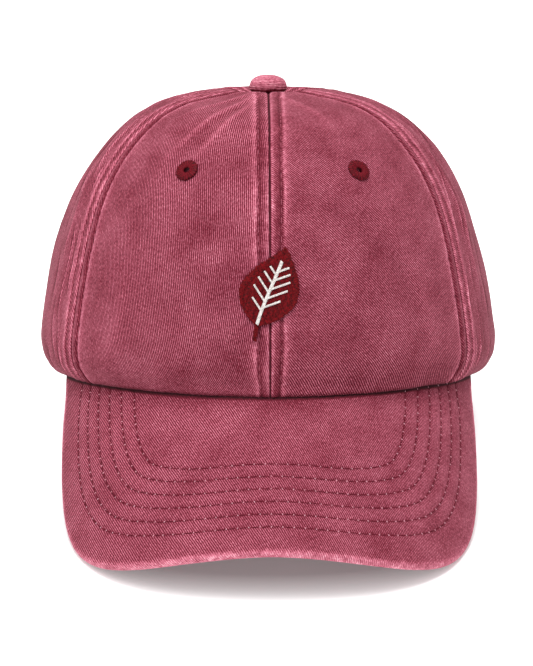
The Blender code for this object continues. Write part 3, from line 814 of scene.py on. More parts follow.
@dataclass(frozen=True)
class StudioFloor(Finish):
    """Plain white paper that glows as painted light, less in an ellipse round the peak's shadow."""

    name: str = "studio_floor"
    ahead: float = 0.060
    half_width: float = 0.100
    half_depth: float = 0.054

    SHADED = (0.42, (0.28, 0.28, 0.28, 1.0))
    LIT = (0.68, (1.0, 1.0, 1.0, 1.0))

    def dress(self, nodes: NodeTree, shader: bpy.types.Node) -> None:
        """Give the paper a faint tooth and its glow."""
        solid = nodes.add("TexCoord").outputs["Object"]
        shift = {0: solid, 1: (0.0, self.ahead, 0.0)}
        moved = nodes.add("VectorMath", shift, operation="ADD").outputs[0]
        spread = nodes.scaled(moved, (1 / self.half_width, 1 / self.half_depth, 0.0))
        away = nodes.add("VectorMath", {0: spread}, operation="LENGTH").outputs["Value"]
        tooth = nodes.noise(solid, 1.5 * MM, 3.0, 0.5)
        values = {
            "Base Color": (0.80, 0.80, 0.80, 1.0),
            # Painted light: the floor glows, less inside the ellipse under the peak so that the
            # shadow there stays.
            "Emission Color": nodes.ramp(nodes.math("MULTIPLY", away, 0.5), self.SHADED, self.LIT),
            "Emission Strength": 0.55,
            "Normal": nodes.bump(tooth, 0.04, 0.0001),
            "Roughness": 0.95,
            "Specular IOR Level": 0.05,
        }
        nodes.feed(shader, values)


DARK_THREAD = Thread("dark_red_thread", dark=(50, 2, 8), light=(126, 18, 34), fibre=0.9)
# A darker thread for the eyelet rings: painted shade between and under the stitches.
EYELET_SHADE_THREAD = Thread("deep_red_thread", dark=(34, 0, 4), light=(92, 8, 22))
PEAK_THREAD = Thread("peak_thread", dark=(62, 4, 18), light=(104, 18, 36))
SEAM_THREAD = Thread("seam_thread", dark=(120, 44, 60), light=(186, 104, 122))
FADED_THREAD = Thread("faded_thread", dark=(166, 92, 106), light=(214, 164, 175))
MAROON_FLOSS = Thread("maroon_floss", dark=(28, 0, 2), light=(116, 6, 16))
WHITE_FLOSS = Thread("white_floss", dark=(170, 162, 158), light=(226, 222, 218))


class Stitch(NamedTuple):
    """One visible length of thread, between two points, with its upward way."""

    start: Array
    end: Array
    up: Array
    width: float
    height: float


class StitchWork:
    """Lengths of thread that become one piece."""

    SIDES = 6
    RINGS = 6

    def __init__(self) -> None:
        """Start with no thread."""
        self.stitches: list[Stitch] = []

    def lay(self, start: Array, end: Array, up: Array, width: float, height: float) -> None:
        """Add one length of thread."""
        self.stitches.append(Stitch(start, end, up, width, height))

    def run(
        self, line: Array, ups: Array, length: float, gap: float, width: float
    ) -> list[tuple[Array, Array]]:
        """Sew along a line.

        Args:
            line: its points, one row each.
            ups: the cloth's normals there.
            length: one stitch's visible length.
            gap: the cloth between two stitches.
            width: the thread's width.

        Returns:
            The middle and normal of each gap.
        """
        ways = ways_along(line)
        count = max(1, int(ways[-1] / (length + gap)))
        pitch = ways[-1] / count
        gaps = []
        for i in range(count):
            start, end = i * pitch, (i + 1) * pitch
            reads = np.array((start + gap / 2, (i + 0.5) * pitch, end - gap / 2, end))
            at, up = read_line(line, ways, reads), read_line(ups, ways, reads)
            self.lay(at[0], at[2], up[1], width, width * 0.8)
            gaps.append((at[3], up[3]))
        return gaps

    @classmethod
    def one_length(cls) -> bpy.types.Mesh:
        """Return the mesh of one length of thread, a unit long, wide and high."""
        thread = bmesh.new()
        turn = Matrix.Rotation(math.pi / 2, 4, "Y")
        bmesh.ops.create_uvsphere(
            thread, u_segments=cls.SIDES, v_segments=cls.RINGS, radius=0.5, matrix=turn
        )
        pattern = thread.loops.layers.uv.new("pattern")
        for corner in thread.verts:
            corner.co.x = math.copysign(abs(2 * corner.co.x) ** 0.8, corner.co.x) / 2
        for face in thread.faces:
            for loop in face.loops:
                co = loop.vert.co
                loop[pattern].uv = (co.x, math.atan2(co.z, co.y) / (2 * math.pi))
        return mesh_from(thread, "thread_length")

    def piece(self, name: str, finish: Finish, slot: Slot = Slot.THREAD) -> bpy.types.Object:
        """Make all lengths one piece, each a copy of the same mesh.

        Args:
            name: the piece's name.
            finish: the thread's finish.
            slot: the record's slot for it; not used.

        Returns:
            The new object.
        """
        one = self.one_length()
        template = corners_of(one)
        sample = bpy.data.objects.new("sample_length", one)
        bpy.context.scene.collection.objects.link(sample)
        repeat = sample.modifiers.new("repeat", "ARRAY")
        repeat.count = len(self.stitches)
        repeat.use_relative_offset = False
        bpy.context.view_layer.update()
        ready = sample.evaluated_get(bpy.context.evaluated_depsgraph_get())
        mesh = bpy.data.meshes.new_from_object(ready)
        mesh.name = name
        bpy.data.objects.remove(sample)
        places = []
        for stitch in self.stitches:
            forward = stitch.end - stitch.start
            long = np.linalg.norm(forward)
            forward = forward / long
            side = np.cross(stitch.up, forward)
            side = side / np.linalg.norm(side)
            rise = np.cross(forward, side)
            axes = np.array((forward * long, side * stitch.width, rise * stitch.height))
            places.append(template @ axes + (stitch.start + stitch.end) / 2)
        mesh.vertices.foreach_set("co", to_table(np.concatenate(places)).ravel())
        mesh.update()
        return finished_object(name, mesh, finish)


@dataclass(frozen=True)
class Gore:
    """One panel of the crown between two seams."""

    name: str
    start: float
    end: float
    columns: int
    rows: int
    slant: float
    seed: float
    ridged: bool = False

    BESIDE = (0.0, 0.3, 0.7, 1.2, 1.8, 2.5, 3.2, 3.8, 4.2, 4.6, 5.0, 5.5, 6.1)
    TOP_HOLE = 0.0030
    RIDGES = ((8.3, 0.55, 0.36), (12.0, 0.65, 0.38), (17.4, 0.90, 0.30), (24.0, 1.40, 0.24))

    def sides(self, level: Array) -> tuple[Array, Array]:
        """Return the angles of the panel's two seams at levels."""
        return CROWN.seam_angle(self.start, level), CROWN.seam_angle(self.end, level)

    def near(self) -> Array:
        """Return the distances of the columns beside a seam."""
        end = self.BESIDE[-1]
        fine = 0.62 if self.ridged else 1.1
        spread = np.arange(end + fine, 13.0 if not self.ridged else 20.0, fine)
        return np.concatenate((self.BESIDE, spread)) * MM

    def distances(self, width: Array) -> Array:
        """Return each column's distance from the start seam, one row per width."""
        near = self.near()
        scale = np.minimum(1.0, width / (2.6 * near[-1]))[:, None]
        left = near[None, :] * scale
        inner = self.columns + 1 - 2 * len(near)
        shares = np.arange(1, inner + 1) / (inner + 1)
        margin = near[-1] * scale
        middle = margin + (width[:, None] - 2 * margin) * shares[None, :]
        right = width[:, None] - left[:, ::-1]
        return np.concatenate((left, middle, right), axis=1)

    def levels(self) -> tuple[Array, Array]:
        """Return each corner's angle and level, as tables of rows by columns."""
        top = CROWN.level_of_radius(self.TOP_HOLE)
        share = np.linspace(0.0, 1.0, self.rows + 1) ** 1.12
        level = top * share
        radius = CROWN.radius(level)
        first, final = self.sides(level)
        away = self.distances((final - first) * radius)
        angle = first[:, None] + away / radius[:, None]
        return angle, np.repeat(level[:, None], self.columns + 1, axis=1)

    def relief(self, angle: Array, level: Array) -> tuple[Array, Array, Array]:
        """Return the height and wear that the seams and washing give, and the painted shade in
        their grooves and dips.
        """
        radius = CROWN.radius(level)
        first, final = self.sides(level)
        width = (final - first) * radius
        scale = np.clip(width / (4 * 4.5 * MM), 0.05, 1.0)
        left = (angle - first) * radius / scale
        right = (final - angle) * radius / scale
        rough = CROWN.skin(angle, level)
        pucker = roughness_at(rough, 3.4 * MM, 1.0)
        waver = roughness_at(rough, 9 * MM, 8.0) * 0.35 * MM
        slow = roughness_at(rough, 16 * MM, 4.0)
        height = np.zeros(angle.shape)
        wear = np.zeros(angle.shape)
        shade = np.zeros(angle.shape)
        for away in (left, right):
            held = smooth_step(0.6 * MM, 2.0 * MM, away)
            up, rubbed, dark = relief_at(SEAM_RELIEF, away + waver * held)
            near = 1 - smooth_step(2 * MM, 12 * MM, away)
            firm = np.maximum(scale, 0.45)
            height += up * firm * (1 + 0.35 * slow) + 0.20 * MM * pucker * near * held * scale
            wear += rubbed * (1 + 0.5 * slow) + 0.35 * near * np.maximum(pucker, 0)
            # Painted shade: darker in the seam's grooves and in the pucker's dips.
            shade += dark * (1 + 0.3 * slow) + 0.20 * near * held * np.maximum(-pucker, 0)
        for away in self.ridged_sides(left, right):
            fade = smooth_step(0.0, 0.06, level) * (1 - smooth_step(0.80, 0.93, level))
            for centre, spread, tall in self.RIDGES:
                drift = roughness_at(rough, 21 * MM, self.seed + centre) * 4.4 * MM
                hold = roughness_at(rough, 15 * MM, self.seed + 2 * centre)
                held = fade * np.clip(0.45 + 1.9 * hold, 0.0, 1.3)
                aside = (away + drift + waver - centre * MM) / MM
                crest = np.exp(-((aside / spread) ** 2)) * held
                valley = np.exp(-(((aside - 2.0 * spread) / spread) ** 2)) * held
                height += MM * (tall * crest - 0.20 * valley)
                wear += 1.7 * tall * crest
                # Painted shade in the valley beside each ridge.
                shade += 0.45 * valley
        calm = smooth_step(5 * MM, 14 * MM, np.minimum(left, right))
        height += calm * (0.20 * MM * roughness_at(rough, 15 * MM, 12.0))
        height += calm * (0.05 * MM * roughness_at(rough, 4.5 * MM, 14.0))
        edge = level * CROWN.length
        height += 0.50 * MM * (1 - smooth_step(1.5 * MM, 6.0 * MM, edge))
        height -= 0.35 * MM * (1 - smooth_step(0.0, 0.9 * MM, edge))
        wave = roughness_at(rough * (1.0, 1.0, 0.2), 13 * MM, 18.0)
        height += 0.30 * MM * wave * (1 - smooth_step(8 * MM, 24 * MM, edge))
        # Painted shadow along the crown's lower edge, where it overhangs the peak.
        shade += 0.25 * (1 - smooth_step(0.6 * MM, 2.6 * MM, edge))
        for crease in CREASES:
            up, rubbed = self.crease_at(crease, angle, level, radius)
            height += up
            wear += rubbed
        return height, wear, shade

    def ridged_sides(self, left: Array, right: Array) -> list[Array]:
        """Return the distances from the front seam, on a side panel only."""
        if abs(self.start - CROWN.front_seam) < CROWN.probe:
            return [left]
        if abs(self.end + CROWN.front_seam) < CROWN.probe:
            return [right]
        return []

    @staticmethod
    def crease_at(
        crease: Crease, angle: Array, level: Array, radius: Array
    ) -> tuple[Array, Array]:
        """Return the height and wear of a crease at corners."""
        share = (level - crease.level_low) / (crease.level_high - crease.level_low)
        held = np.sin(math.pi * np.clip(share, 0.0, 1.0)) ** 0.8
        bend = 3.0 * np.sin(math.pi * np.clip(share, 0.0, 1.0))
        turn = crease.angle_high - crease.angle_low
        centre = np.radians(crease.angle_low + turn * share + bend)
        aside = turned_between(angle, centre) * radius / crease.width
        crest = np.exp(-aside * aside) * held
        return crease.height * crest, crease.wear * crest

    def middle(self) -> float:
        """Return the angle of the panel's middle."""
        return (self.start + self.end) / 2

    def place(self, column: Array, row: Array) -> Cloth:
        """Return the panel's cloth at corners given by column and row."""
        angle, level = self.levels()
        angle = angle[row, column]
        level = level[row, column]
        height, wear, shade = self.relief(angle, level)
        points = CROWN.point(angle, level, height)
        points[:, 2] -= 0.30 * MM * (1 - smooth_step(0.0, 5 * MM, level * CROWN.length))
        around = turned_between(angle, self.middle()) * CROWN.radius(level)
        pattern = np.stack((around + self.seed, level * CROWN.length), axis=-1)
        return Cloth(points, pattern, wear, shade)

    def width_at(self, level: Array) -> Array:
        """Return the panel's width at each level."""
        first, final = self.sides(level)
        return (final - first) * CROWN.radius(level)

    def flat_cut(self) -> tuple[float, float, float]:
        """Return the cut's width, length and area, as worked out from the form."""
        width = self.width_at(np.linspace(0.0, 1.0, 200))
        return float(width.max()), CROWN.length, float(np.mean(width)) * CROWN.length


@dataclass(frozen=True)
class BackGore(Gore):
    """A back panel, whose lower edge climbs along the opening's arch."""

    ARCH_HALF = 0.0500
    ARCH_HEIGHT = 0.0480
    BLEND = 0.55

    def arch(self) -> tuple[Array, Array]:
        """Return the arch's angles and levels, from its foot to its crest."""
        turn = np.linspace(0.0, math.pi / 2, 300)
        level = CROWN.level_of_height(self.ARCH_HEIGHT * np.sin(turn))
        return CROWN.back_angle(self.ARCH_HALF * np.cos(turn), level), level

    def width_at(self, level: Array) -> Array:
        """Return the panel's width at each level, less its half of the opening."""
        arch_angle, arch_level = self.arch()
        opening = (math.pi - np.interp(level, arch_level, arch_angle)) * CROWN.radius(level)
        return super().width_at(level) - opening

    def lower_edge(self) -> tuple[Array, Array]:
        """Return the lower edge's angle and level for each column, on +X."""
        arch_angle, arch_level = self.arch()
        foot = np.linspace(CROWN.back_seam, arch_angle[0], 120)[:-1]
        angle = np.concatenate((foot, arch_angle))
        level = np.concatenate((np.zeros(len(foot)), arch_level))
        ways = ways_along(CROWN.skin(angle, level))
        width = (math.pi - CROWN.back_seam) * CROWN.radius(np.array([0.2]))
        away = self.distances(width)[0]
        share = away / width[0]
        spare = ways[-1] - width[0]
        reads = away + spare * share * share * (3 - 2 * share)
        return np.interp(reads, ways, angle), np.interp(reads, ways, level)

    def levels(self) -> tuple[Array, Array]:
        """Return each corner's angle and level, as tables of rows by columns."""
        top = CROWN.level_of_radius(self.TOP_HOLE)
        low_angle, low_level = self.lower_edge()
        share = np.linspace(0.0, 1.0, self.rows + 1)[:, None]
        level = low_level[None, :] + (top - low_level[None, :]) * share ** 1.12
        radius = CROWN.radius(level)
        width = (math.pi - CROWN.back_seam) * radius
        rows = [self.distances(line) for line in width.T]
        away = np.stack([rows[i][:, i] for i in range(self.columns + 1)], axis=1)
        high_angle = CROWN.back_seam + away / radius
        blend = smooth_step(0.0, self.BLEND, share)
        angle = low_angle[None, :] * (1 - blend) + high_angle * blend
        if self.start < 0:
            return -angle[:, ::-1], level[:, ::-1]
        return angle, level

    def relief(self, angle: Array, level: Array) -> tuple[Array, Array, Array]:
        """Return the relief of the seams and of the hem along the arch, with painted shade in the
        hem's stitch grooves.
        """
        height, wear, shade = super().relief(angle, level)
        arch_angle, arch_level = self.arch()
        edge = CROWN.skin(arch_angle, arch_level)
        points = CROWN.skin(np.abs(angle), level)
        away = np.min(np.linalg.norm(points[:, None, :] - edge[None, ::3, :], axis=2), axis=1)
        # dark is painted shade in the hem's stitch grooves.
        up, rubbed, dark = relief_at(HEM_RELIEF, away)
        return height + up, wear + rubbed, shade + dark


class Crown:
    """The six panels with their seams, topstitches and air holes."""

    SEAM_STITCH = 2.7 * MM
    SEAM_GAP = 0.9 * MM
    SEAM_THREAD = 0.30 * MM
    SEAM_AWAY = 4.5 * MM
    EYELETS = {"front": (27.7, 1.2), "side": (103.0, 0.0), "back": (150.0, 0.0)}
    EYELET_HEIGHT = 0.0812
    EYELET_HOLE = 2.0 * MM

    def __init__(self) -> None:
        """Set out the panels."""
        back, front = CROWN.back_seam, CROWN.front_seam
        slant = math.radians
        self.gores = (
            Gore("front_left", -front, 0.0, 108, 176, slant(-14.0), 1.37),
            Gore("front_right", 0.0, front, 108, 176, slant(-43.0), 2.71),
            Gore("side_left", -back, -front, 136, 160, slant(-35.0), 3.19, ridged=True),
            Gore("side_right", front, back, 136, 160, slant(-44.0), 4.43, ridged=True),
            BackGore("back_left", -math.pi, -back, 84, 120, slant(-38.0), 5.57),
            BackGore("back_right", back, math.pi, 84, 120, slant(-44.0), 6.11),
        )

    def eyelet_frame(self, name: str) -> Matrix:
        """Return an air hole's frame, its Z outwards."""
        row, hand = name.split("_")
        sign = -1 if hand == "left" else 1
        aside, turn = self.EYELETS[row]
        angle = np.array([math.radians(sign * aside + turn)])
        level = CROWN.level_of_height(np.array([self.EYELET_HEIGHT]))
        outward = Vector(CROWN.normal(angle, level)[0])
        facing = outward.to_track_quat("Z", "Y").to_matrix().to_4x4()
        return Matrix.Translation(Vector(CROWN.point(angle, level, np.zeros(1))[0])) @ facing

    def pierce(self, mesh: bpy.types.Mesh, name: str) -> None:
        """Open a panel under its air hole."""
        spot = REST @ self.eyelet_frame(name).translation
        sheet = bmesh.new()
        sheet.from_mesh(mesh)
        inside = [
            face
            for face in sheet.faces
            if (face.calc_center_median() - spot).length < self.EYELET_HOLE
        ]
        bmesh.ops.delete(sheet, geom=inside, context="FACES")
        sheet.to_mesh(mesh)
        sheet.free()

    def build_panels(self) -> None:
        """Make the six panels."""
        for gore in self.gores:
            mesh = cloth_mesh("crown_" + gore.name, gore.columns, gore.rows, gore.place)
            self.pierce(mesh, gore.name)
            finish = WashedTwill("washed_twill_" + gore.name, slant=gore.slant)
            piece = finished_object("panel_" + gore.name, mesh, finish)
            thicken(piece, CLOTH)
            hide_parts("crown_" + gore.name)
            width, length, area = gore.flat_cut()
            LOG.info("panel %s: %.0f cm2 of cloth", gore.name, area * 1e4)

    def seam_line(self, seam: float, side: float, low: float) -> tuple[Array, Array]:
        """Return the line that a row of topstitches follows, and its normals."""
        level = np.linspace(low, CROWN.level_of_radius(0.0095), 300)
        radius = CROWN.radius(level)
        width = (CROWN.front_seam if abs(seam) < 1 else 1.06) * radius
        scale = np.clip(width / (4 * self.SEAM_AWAY), 0.05, 1.0)
        angle = CROWN.seam_angle(seam, level) + side * self.SEAM_AWAY * scale / radius
        return CROWN.point(angle, level, np.full(300, -0.20 * MM)), CROWN.normal(angle, level)

    def build_seam_stitches(self) -> None:
        """Sew two rows of topstitches along each seam."""
        work = StitchWork()
        for seam in CROWN.seams:
            low = 0.014
            if abs(seam - math.pi) < CROWN.probe:
                low = float(CROWN.level_of_height(np.array([BackGore.ARCH_HEIGHT + 9 * MM]))[0])
            for side in (-1.0, 1.0):
                line, ups = self.seam_line(seam, side, low)
                work.run(line, ups, self.SEAM_STITCH, self.SEAM_GAP, self.SEAM_THREAD)
        self.sew_arch(work)
        work.piece("seam_topstitches", SEAM_THREAD)
        LOG.info("seam topstitches: %d", len(work.stitches))

    def sew_arch(self, work: StitchWork) -> None:
        """Sew two rows of stitches around the opening at the back."""
        for inset, lift in ((1.5 * MM, 0.18 * MM), (8.6 * MM, -0.06 * MM)):
            turn = np.linspace(0.03, math.pi - 0.03, 400)
            across = (BackGore.ARCH_HALF + inset) * np.cos(turn)
            level = CROWN.level_of_height((BackGore.ARCH_HEIGHT + inset) * np.sin(turn))
            angle = CROWN.back_angle(across, level)
            line = CROWN.point(angle, level, np.full(400, lift))
            ups = CROWN.normal(angle, level)
            work.run(line, ups, self.SEAM_STITCH, self.SEAM_GAP, self.SEAM_THREAD)

    def build_eyelets(self) -> None:
        """Sew six air holes."""
        for row in self.EYELETS:
            for hand in ("left", "right"):
                name = row + "_" + hand
                Eyelet(name, self.eyelet_frame(name)).build()


@dataclass(frozen=True)
class Eyelet:
    """A sewn air hole: a padded ring under radial stitches."""

    name: str
    frame: Matrix
    hole: float = 0.00125
    rim: float = 0.00440
    neck: float = 0.0023
    rise: float = 0.00085
    threads: int = 22

    STEPS = 48
    THREAD_WIDTH = 0.74 * MM
    THREAD_HEIGHT = 0.66 * MM

    def profile(self) -> list[tuple[float, float]]:
        """Return the ring's outline, radius and height, as a closed loop."""
        loop = [(self.hole, -CLOTH), (self.neck, -CLOTH), (self.neck, 0.0), (self.rim, 0.0)]
        for i in range(1, 9):
            turn = math.pi * i / 9
            middle = (self.hole + self.rim) / 2
            height = self.rise * math.sin(turn) ** 0.7
            loop.append((middle + (self.rim - middle) * math.cos(turn), height))
        loop.append((self.hole, 0.0))
        loop.append((self.hole, -CLOTH))
        return loop

    def ring(self) -> bpy.types.Mesh:
        """Return the ring's mesh."""
        ring = spun(self.profile(), self.STEPS)
        face_outwards(ring)
        pattern = ring.loops.layers.uv.new("pattern")
        for face in ring.faces:
            for loop in face.loops:
                co = loop.vert.co
                loop[pattern].uv = (co.to_2d().length / self.rim, math.atan2(co.y, co.x))
        bmesh.ops.transform(ring, matrix=REST @ self.frame, verts=ring.verts[:])
        return mesh_from(ring, "eyelet_ring_" + self.name)

    def build(self) -> None:
        """Make the ring and lay the stitches over it."""
        # The ring is darker than its stitches, as painted shade between them.
        piece = finished_object("eyelet_ring_" + self.name, self.ring(), EYELET_SHADE_THREAD)
        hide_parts("eyelet_" + self.name)
        work = StitchWork()
        jitter = np.random.default_rng(len(self.name) * 13 + 5)
        turn3 = np.array(self.frame.to_3x3())
        spot = np.array(self.frame.translation)
        up = turn3 @ np.array((0.0, 0.0, 1.0))
        for i in range(self.threads):
            angle = 2 * math.pi * (i + jitter.uniform(-0.12, 0.12)) / self.threads
            way = np.array((math.cos(angle), math.sin(angle), 0.0))
            reach = self.rim + jitter.uniform(-0.05, 0.22) * MM
            middle = (self.hole + reach) / 2
            crest = way * middle + (0.0, 0.0, self.rise + jitter.uniform(-0.10, 0.12) * MM)
            outer = way * (reach + 0.12 * MM) + (0.0, 0.0, 0.18 * MM)
            inner = way * (self.hole * 0.9) + (0.0, 0.0, 0.30 * MM)
            for ends in ((inner, crest + way * 0.5 * MM), (crest - way * 0.5 * MM, outer)):
                start, end = (point @ turn3.T + spot for point in ends)
                work.lay(start, end, up, self.THREAD_WIDTH, self.THREAD_HEIGHT)
        work.piece("eyelet_stitches_" + self.name, DARK_THREAD)


@dataclass(frozen=True)
class Button:
    """The covered button on top, its cloth gathered in soft rings."""

    diameter: float = 0.0149
    height: float = 0.0066
    stem: float = 0.0050
    steps: int = 84

    PROFILE = (
        (0.88, 0.00),
        (0.98, 0.13),
        (1.00, 0.30),
        (0.975, 0.47),
        (0.900, 0.63),
        (0.760, 0.78),
        (0.550, 0.905),
        (0.290, 0.976),
        (0.000, 1.00),
    )
    STEM_DEPTH = 0.0020
    PROFILE_POINTS = 25
    LONGEST_EDGE = 1.1 * MM
    RING_PITCH = 0.86 * MM

    def seat(self) -> float:
        """Return how high the button stands, as in the solids."""
        rim = CROWN.level_of_radius(self.diameter / 2)
        top = CROWN.level_of_radius(0.0030)
        heights = CROWN.skin(np.zeros(2), np.array((rim, top)))[:, 2]
        return float(heights.max()) + 0.0007 * 0.5 + CLEARANCE

    def dome(self) -> bpy.types.Mesh:
        """Return the button's plain mesh, its lower rim at z = 0."""
        rim = self.diameter / 2
        outline = [
            (0.0, -self.STEM_DEPTH),
            (self.stem / 2, -self.STEM_DEPTH),
            (self.stem / 2, 0.0),
        ]
        turn = np.linspace(0.0, 1.0, self.PROFILE_POINTS)
        keys = np.linspace(0.0, 1.0, len(self.PROFILE))
        radius, height = (smooth_curve(keys, column, turn) for column in np.array(self.PROFILE).T)
        outline += list(zip(radius * rim, height * self.height))
        dome = spun(outline, self.steps)
        long = [edge for edge in dome.edges if edge.calc_length() > self.LONGEST_EDGE]
        bmesh.ops.subdivide_edges(dome, edges=long, cuts=1)
        face_outwards(dome)
        return mesh_from(dome, "button_cloth")

    def gathered(self, points: Array) -> Cloth:
        """Return the dome's cloth in its place, with its rings and lumps, and painted shade in the
        rings' troughs and round its foot.
        """
        high = points[:, 2]
        radius = np.hypot(points[:, 0], points[:, 1])
        lump = roughness_at(points, 2.6 * MM, 4.2)
        fine = roughness_at(points, 1.1 * MM, 9.4)
        away = 0.60 * radius + 0.80 * (self.height - high)
        swirl = np.sin(away / self.RING_PITCH * 2 * math.pi + lump * 0.5)
        side = smooth_step(0.0006, 0.0016, high) * (1 - smooth_step(0.0046, 0.0058, high))
        push = 0.05 * MM * swirl * side + 0.13 * MM * lump + 0.04 * MM * fine
        way = points / np.maximum(np.linalg.norm(points, axis=1, keepdims=True), MERGE)
        body = high > 0.0
        wear = 0.50 + 0.30 * np.maximum(swirl, 0) * side + 0.30 * np.maximum(fine, 0)
        points = points + way * (push * body)[:, None]
        # Painted shade in the rings' troughs, and a painted contact shadow round the button's foot.
        shade = 0.40 * np.maximum(-swirl, 0) * side
        shade = shade + 0.9 * (1 - smooth_step(0.0002, 0.0016, points[:, 2]))
        pattern = np.stack((away * 1.1, points[:, 0]), axis=-1)
        return Cloth(points + (0.0, 0.0, self.seat()), pattern, wear, shade)

    def build(self) -> None:
        """Make the button."""
        mesh = self.dome()
        lay_cloth(mesh, self.gathered(corners_of(mesh)))
        finish = WashedTwill("washed_twill_button", slant=math.radians(3.0), level=0.52)
        piece = finished_object("covered_button", mesh, finish)
        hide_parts("button")
        LOG.info("button: %d corners", len(mesh.vertices))


class OutlinePoint(NamedTuple):
    """A point of the peak's outline, as shares of its half width and length."""

    across: float
    along: float


@dataclass
class PeakForm:
    """The peak as a flat pattern bent along the crown's edge at a steady slope."""

    length: float = 0.0718
    half_width: float = 0.0974
    thickness: float = 0.0032
    slope: float = math.radians(43.0)
    span: float = math.radians(70.0)
    tail: float = 0.0060
    tail_pull: float = 0.35
    nudge: float = 0.0003

    FRONT = (
        OutlinePoint(0.000, 1.000),
        OutlinePoint(0.560, 1.000),
        OutlinePoint(1.000, 0.920),
        OutlinePoint(1.000, -0.276),
    )

    def __post_init__(self) -> None:
        """Measure the arch that the crown's edge gives the peak."""
        base = CROWN.section(np.zeros(1))
        half = CROWN.half_width * base.side[0]
        self.reach = CROWN.front_reach * base.front[0]
        power = 2 / base.front_round[0]
        self.turns = np.linspace(0.0, math.pi / 2, 1200)
        self.across = half * np.sin(self.turns) ** power
        self.setback = self.reach * (1 - np.abs(np.cos(self.turns)) ** power)
        self.drop = self.setback * math.sin(self.slope)
        steps = np.hypot(np.diff(self.across), np.diff(self.drop))
        self.flat = np.concatenate(([0.0], np.cumsum(steps)))
        self.end = float(np.interp(self.span, self.turns, self.flat))
        self.outline = self.half_outline()

    def seam(self, flat: Array) -> Array:
        """Return how far along the pattern the crown's edge crosses lines."""
        return CLEARANCE - np.interp(np.abs(flat), self.flat, self.setback) * math.cos(self.slope)

    def half_outline(self) -> tuple[Array, Array]:
        """Return the outline's lengths and points, from the front to the tail."""
        front = np.array([(p.across * self.half_width, p.along * self.length) for p in self.FRONT])
        widest = front[-1]
        tail = np.array((self.end, float(self.seam(np.array(self.end))) + self.tail))
        reach = (widest[1] - tail[1]) * self.tail_pull
        back = np.array([widest, (widest[0], widest[1] - reach), (tail[0], tail[1] + reach), tail])
        share = np.linspace(0.0, 1.0, 400)[:, None]
        points = np.concatenate((self.bezier(front, share)[:-1], self.bezier(back, share)))
        steps = np.hypot(*np.diff(points, axis=0).T)
        return np.concatenate(([0.0], np.cumsum(steps))), points

    @staticmethod
    def bezier(controls: Array, share: Array) -> Array:
        """Return points of the cubic curve with four control points."""
        rest = 1 - share
        a, b, c, d = controls
        return a * rest**3 + 3 * b * rest**2 * share + 3 * c * rest * share**2 + d * share**3

    def rim(self, share: Array) -> Array:
        """Return points of the outline at shares of its way, on either side."""
        ways, points = self.outline
        way = np.abs(share) * ways[-1]
        across = np.interp(way, ways, points[:, 0])
        along = np.interp(way, ways, points[:, 1])
        return np.stack((np.sign(share) * across, along), axis=-1)

    def point(self, across: Array, along: Array, lift: Array) -> Array:
        """Return points at distances above the bent pattern's top face."""
        flat = np.abs(across)
        aside = np.interp(flat, self.flat, self.across)
        drop = np.interp(flat, self.flat, self.drop)
        low = np.maximum(flat - self.nudge, 0.0)
        high = low + 2 * self.nudge
        tilt = np.interp(high, self.flat, self.drop) - np.interp(low, self.flat, self.drop)
        run = np.interp(high, self.flat, self.across) - np.interp(low, self.flat, self.across)
        tilt = np.where(flat < self.nudge, tilt * flat / self.nudge, tilt)
        length = np.hypot(tilt, run)
        x = aside + lift * tilt / length
        m = lift * run / length - drop
        forward = self.reach + along * math.cos(self.slope) + m * math.sin(self.slope)
        height = m * math.cos(self.slope) - along * math.sin(self.slope)
        return np.stack((np.sign(across) * x, -forward, height), axis=-1)

    def normal(self, across: Array, along: Array) -> Array:
        """Return the top face's normals."""
        zero = np.zeros(np.shape(across))
        up = self.point(across, along, zero + MM) - self.point(across, along, zero)
        return up / np.linalg.norm(up, axis=-1, keepdims=True)

    def whole_outline(self) -> tuple[Array, Array]:
        """Return the outline from one tail to the other, and shares of its way."""
        ways, points = self.outline
        mirrored = points[:0:-1] * (-1.0, 1.0)
        shares = ways / ways[-1]
        return np.concatenate((mirrored, points)), np.concatenate((-shares[:0:-1], shares))

    def from_edge(self, places: Array) -> tuple[Array, Array]:
        """Return how far places lie from the outline, and the nearest point's share."""
        line, shares = (values[::2] for values in self.whole_outline())
        distances, nearest = [], []
        for part in np.array_split(places, max(1, len(places) // 4000)):
            away = np.linalg.norm(part[:, None, :] - line[None, :, :], axis=2)
            distances.append(np.min(away, axis=1))
            nearest.append(shares[np.argmin(away, axis=1)])
        return np.concatenate(distances), np.concatenate(nearest)


PEAK = PeakForm()


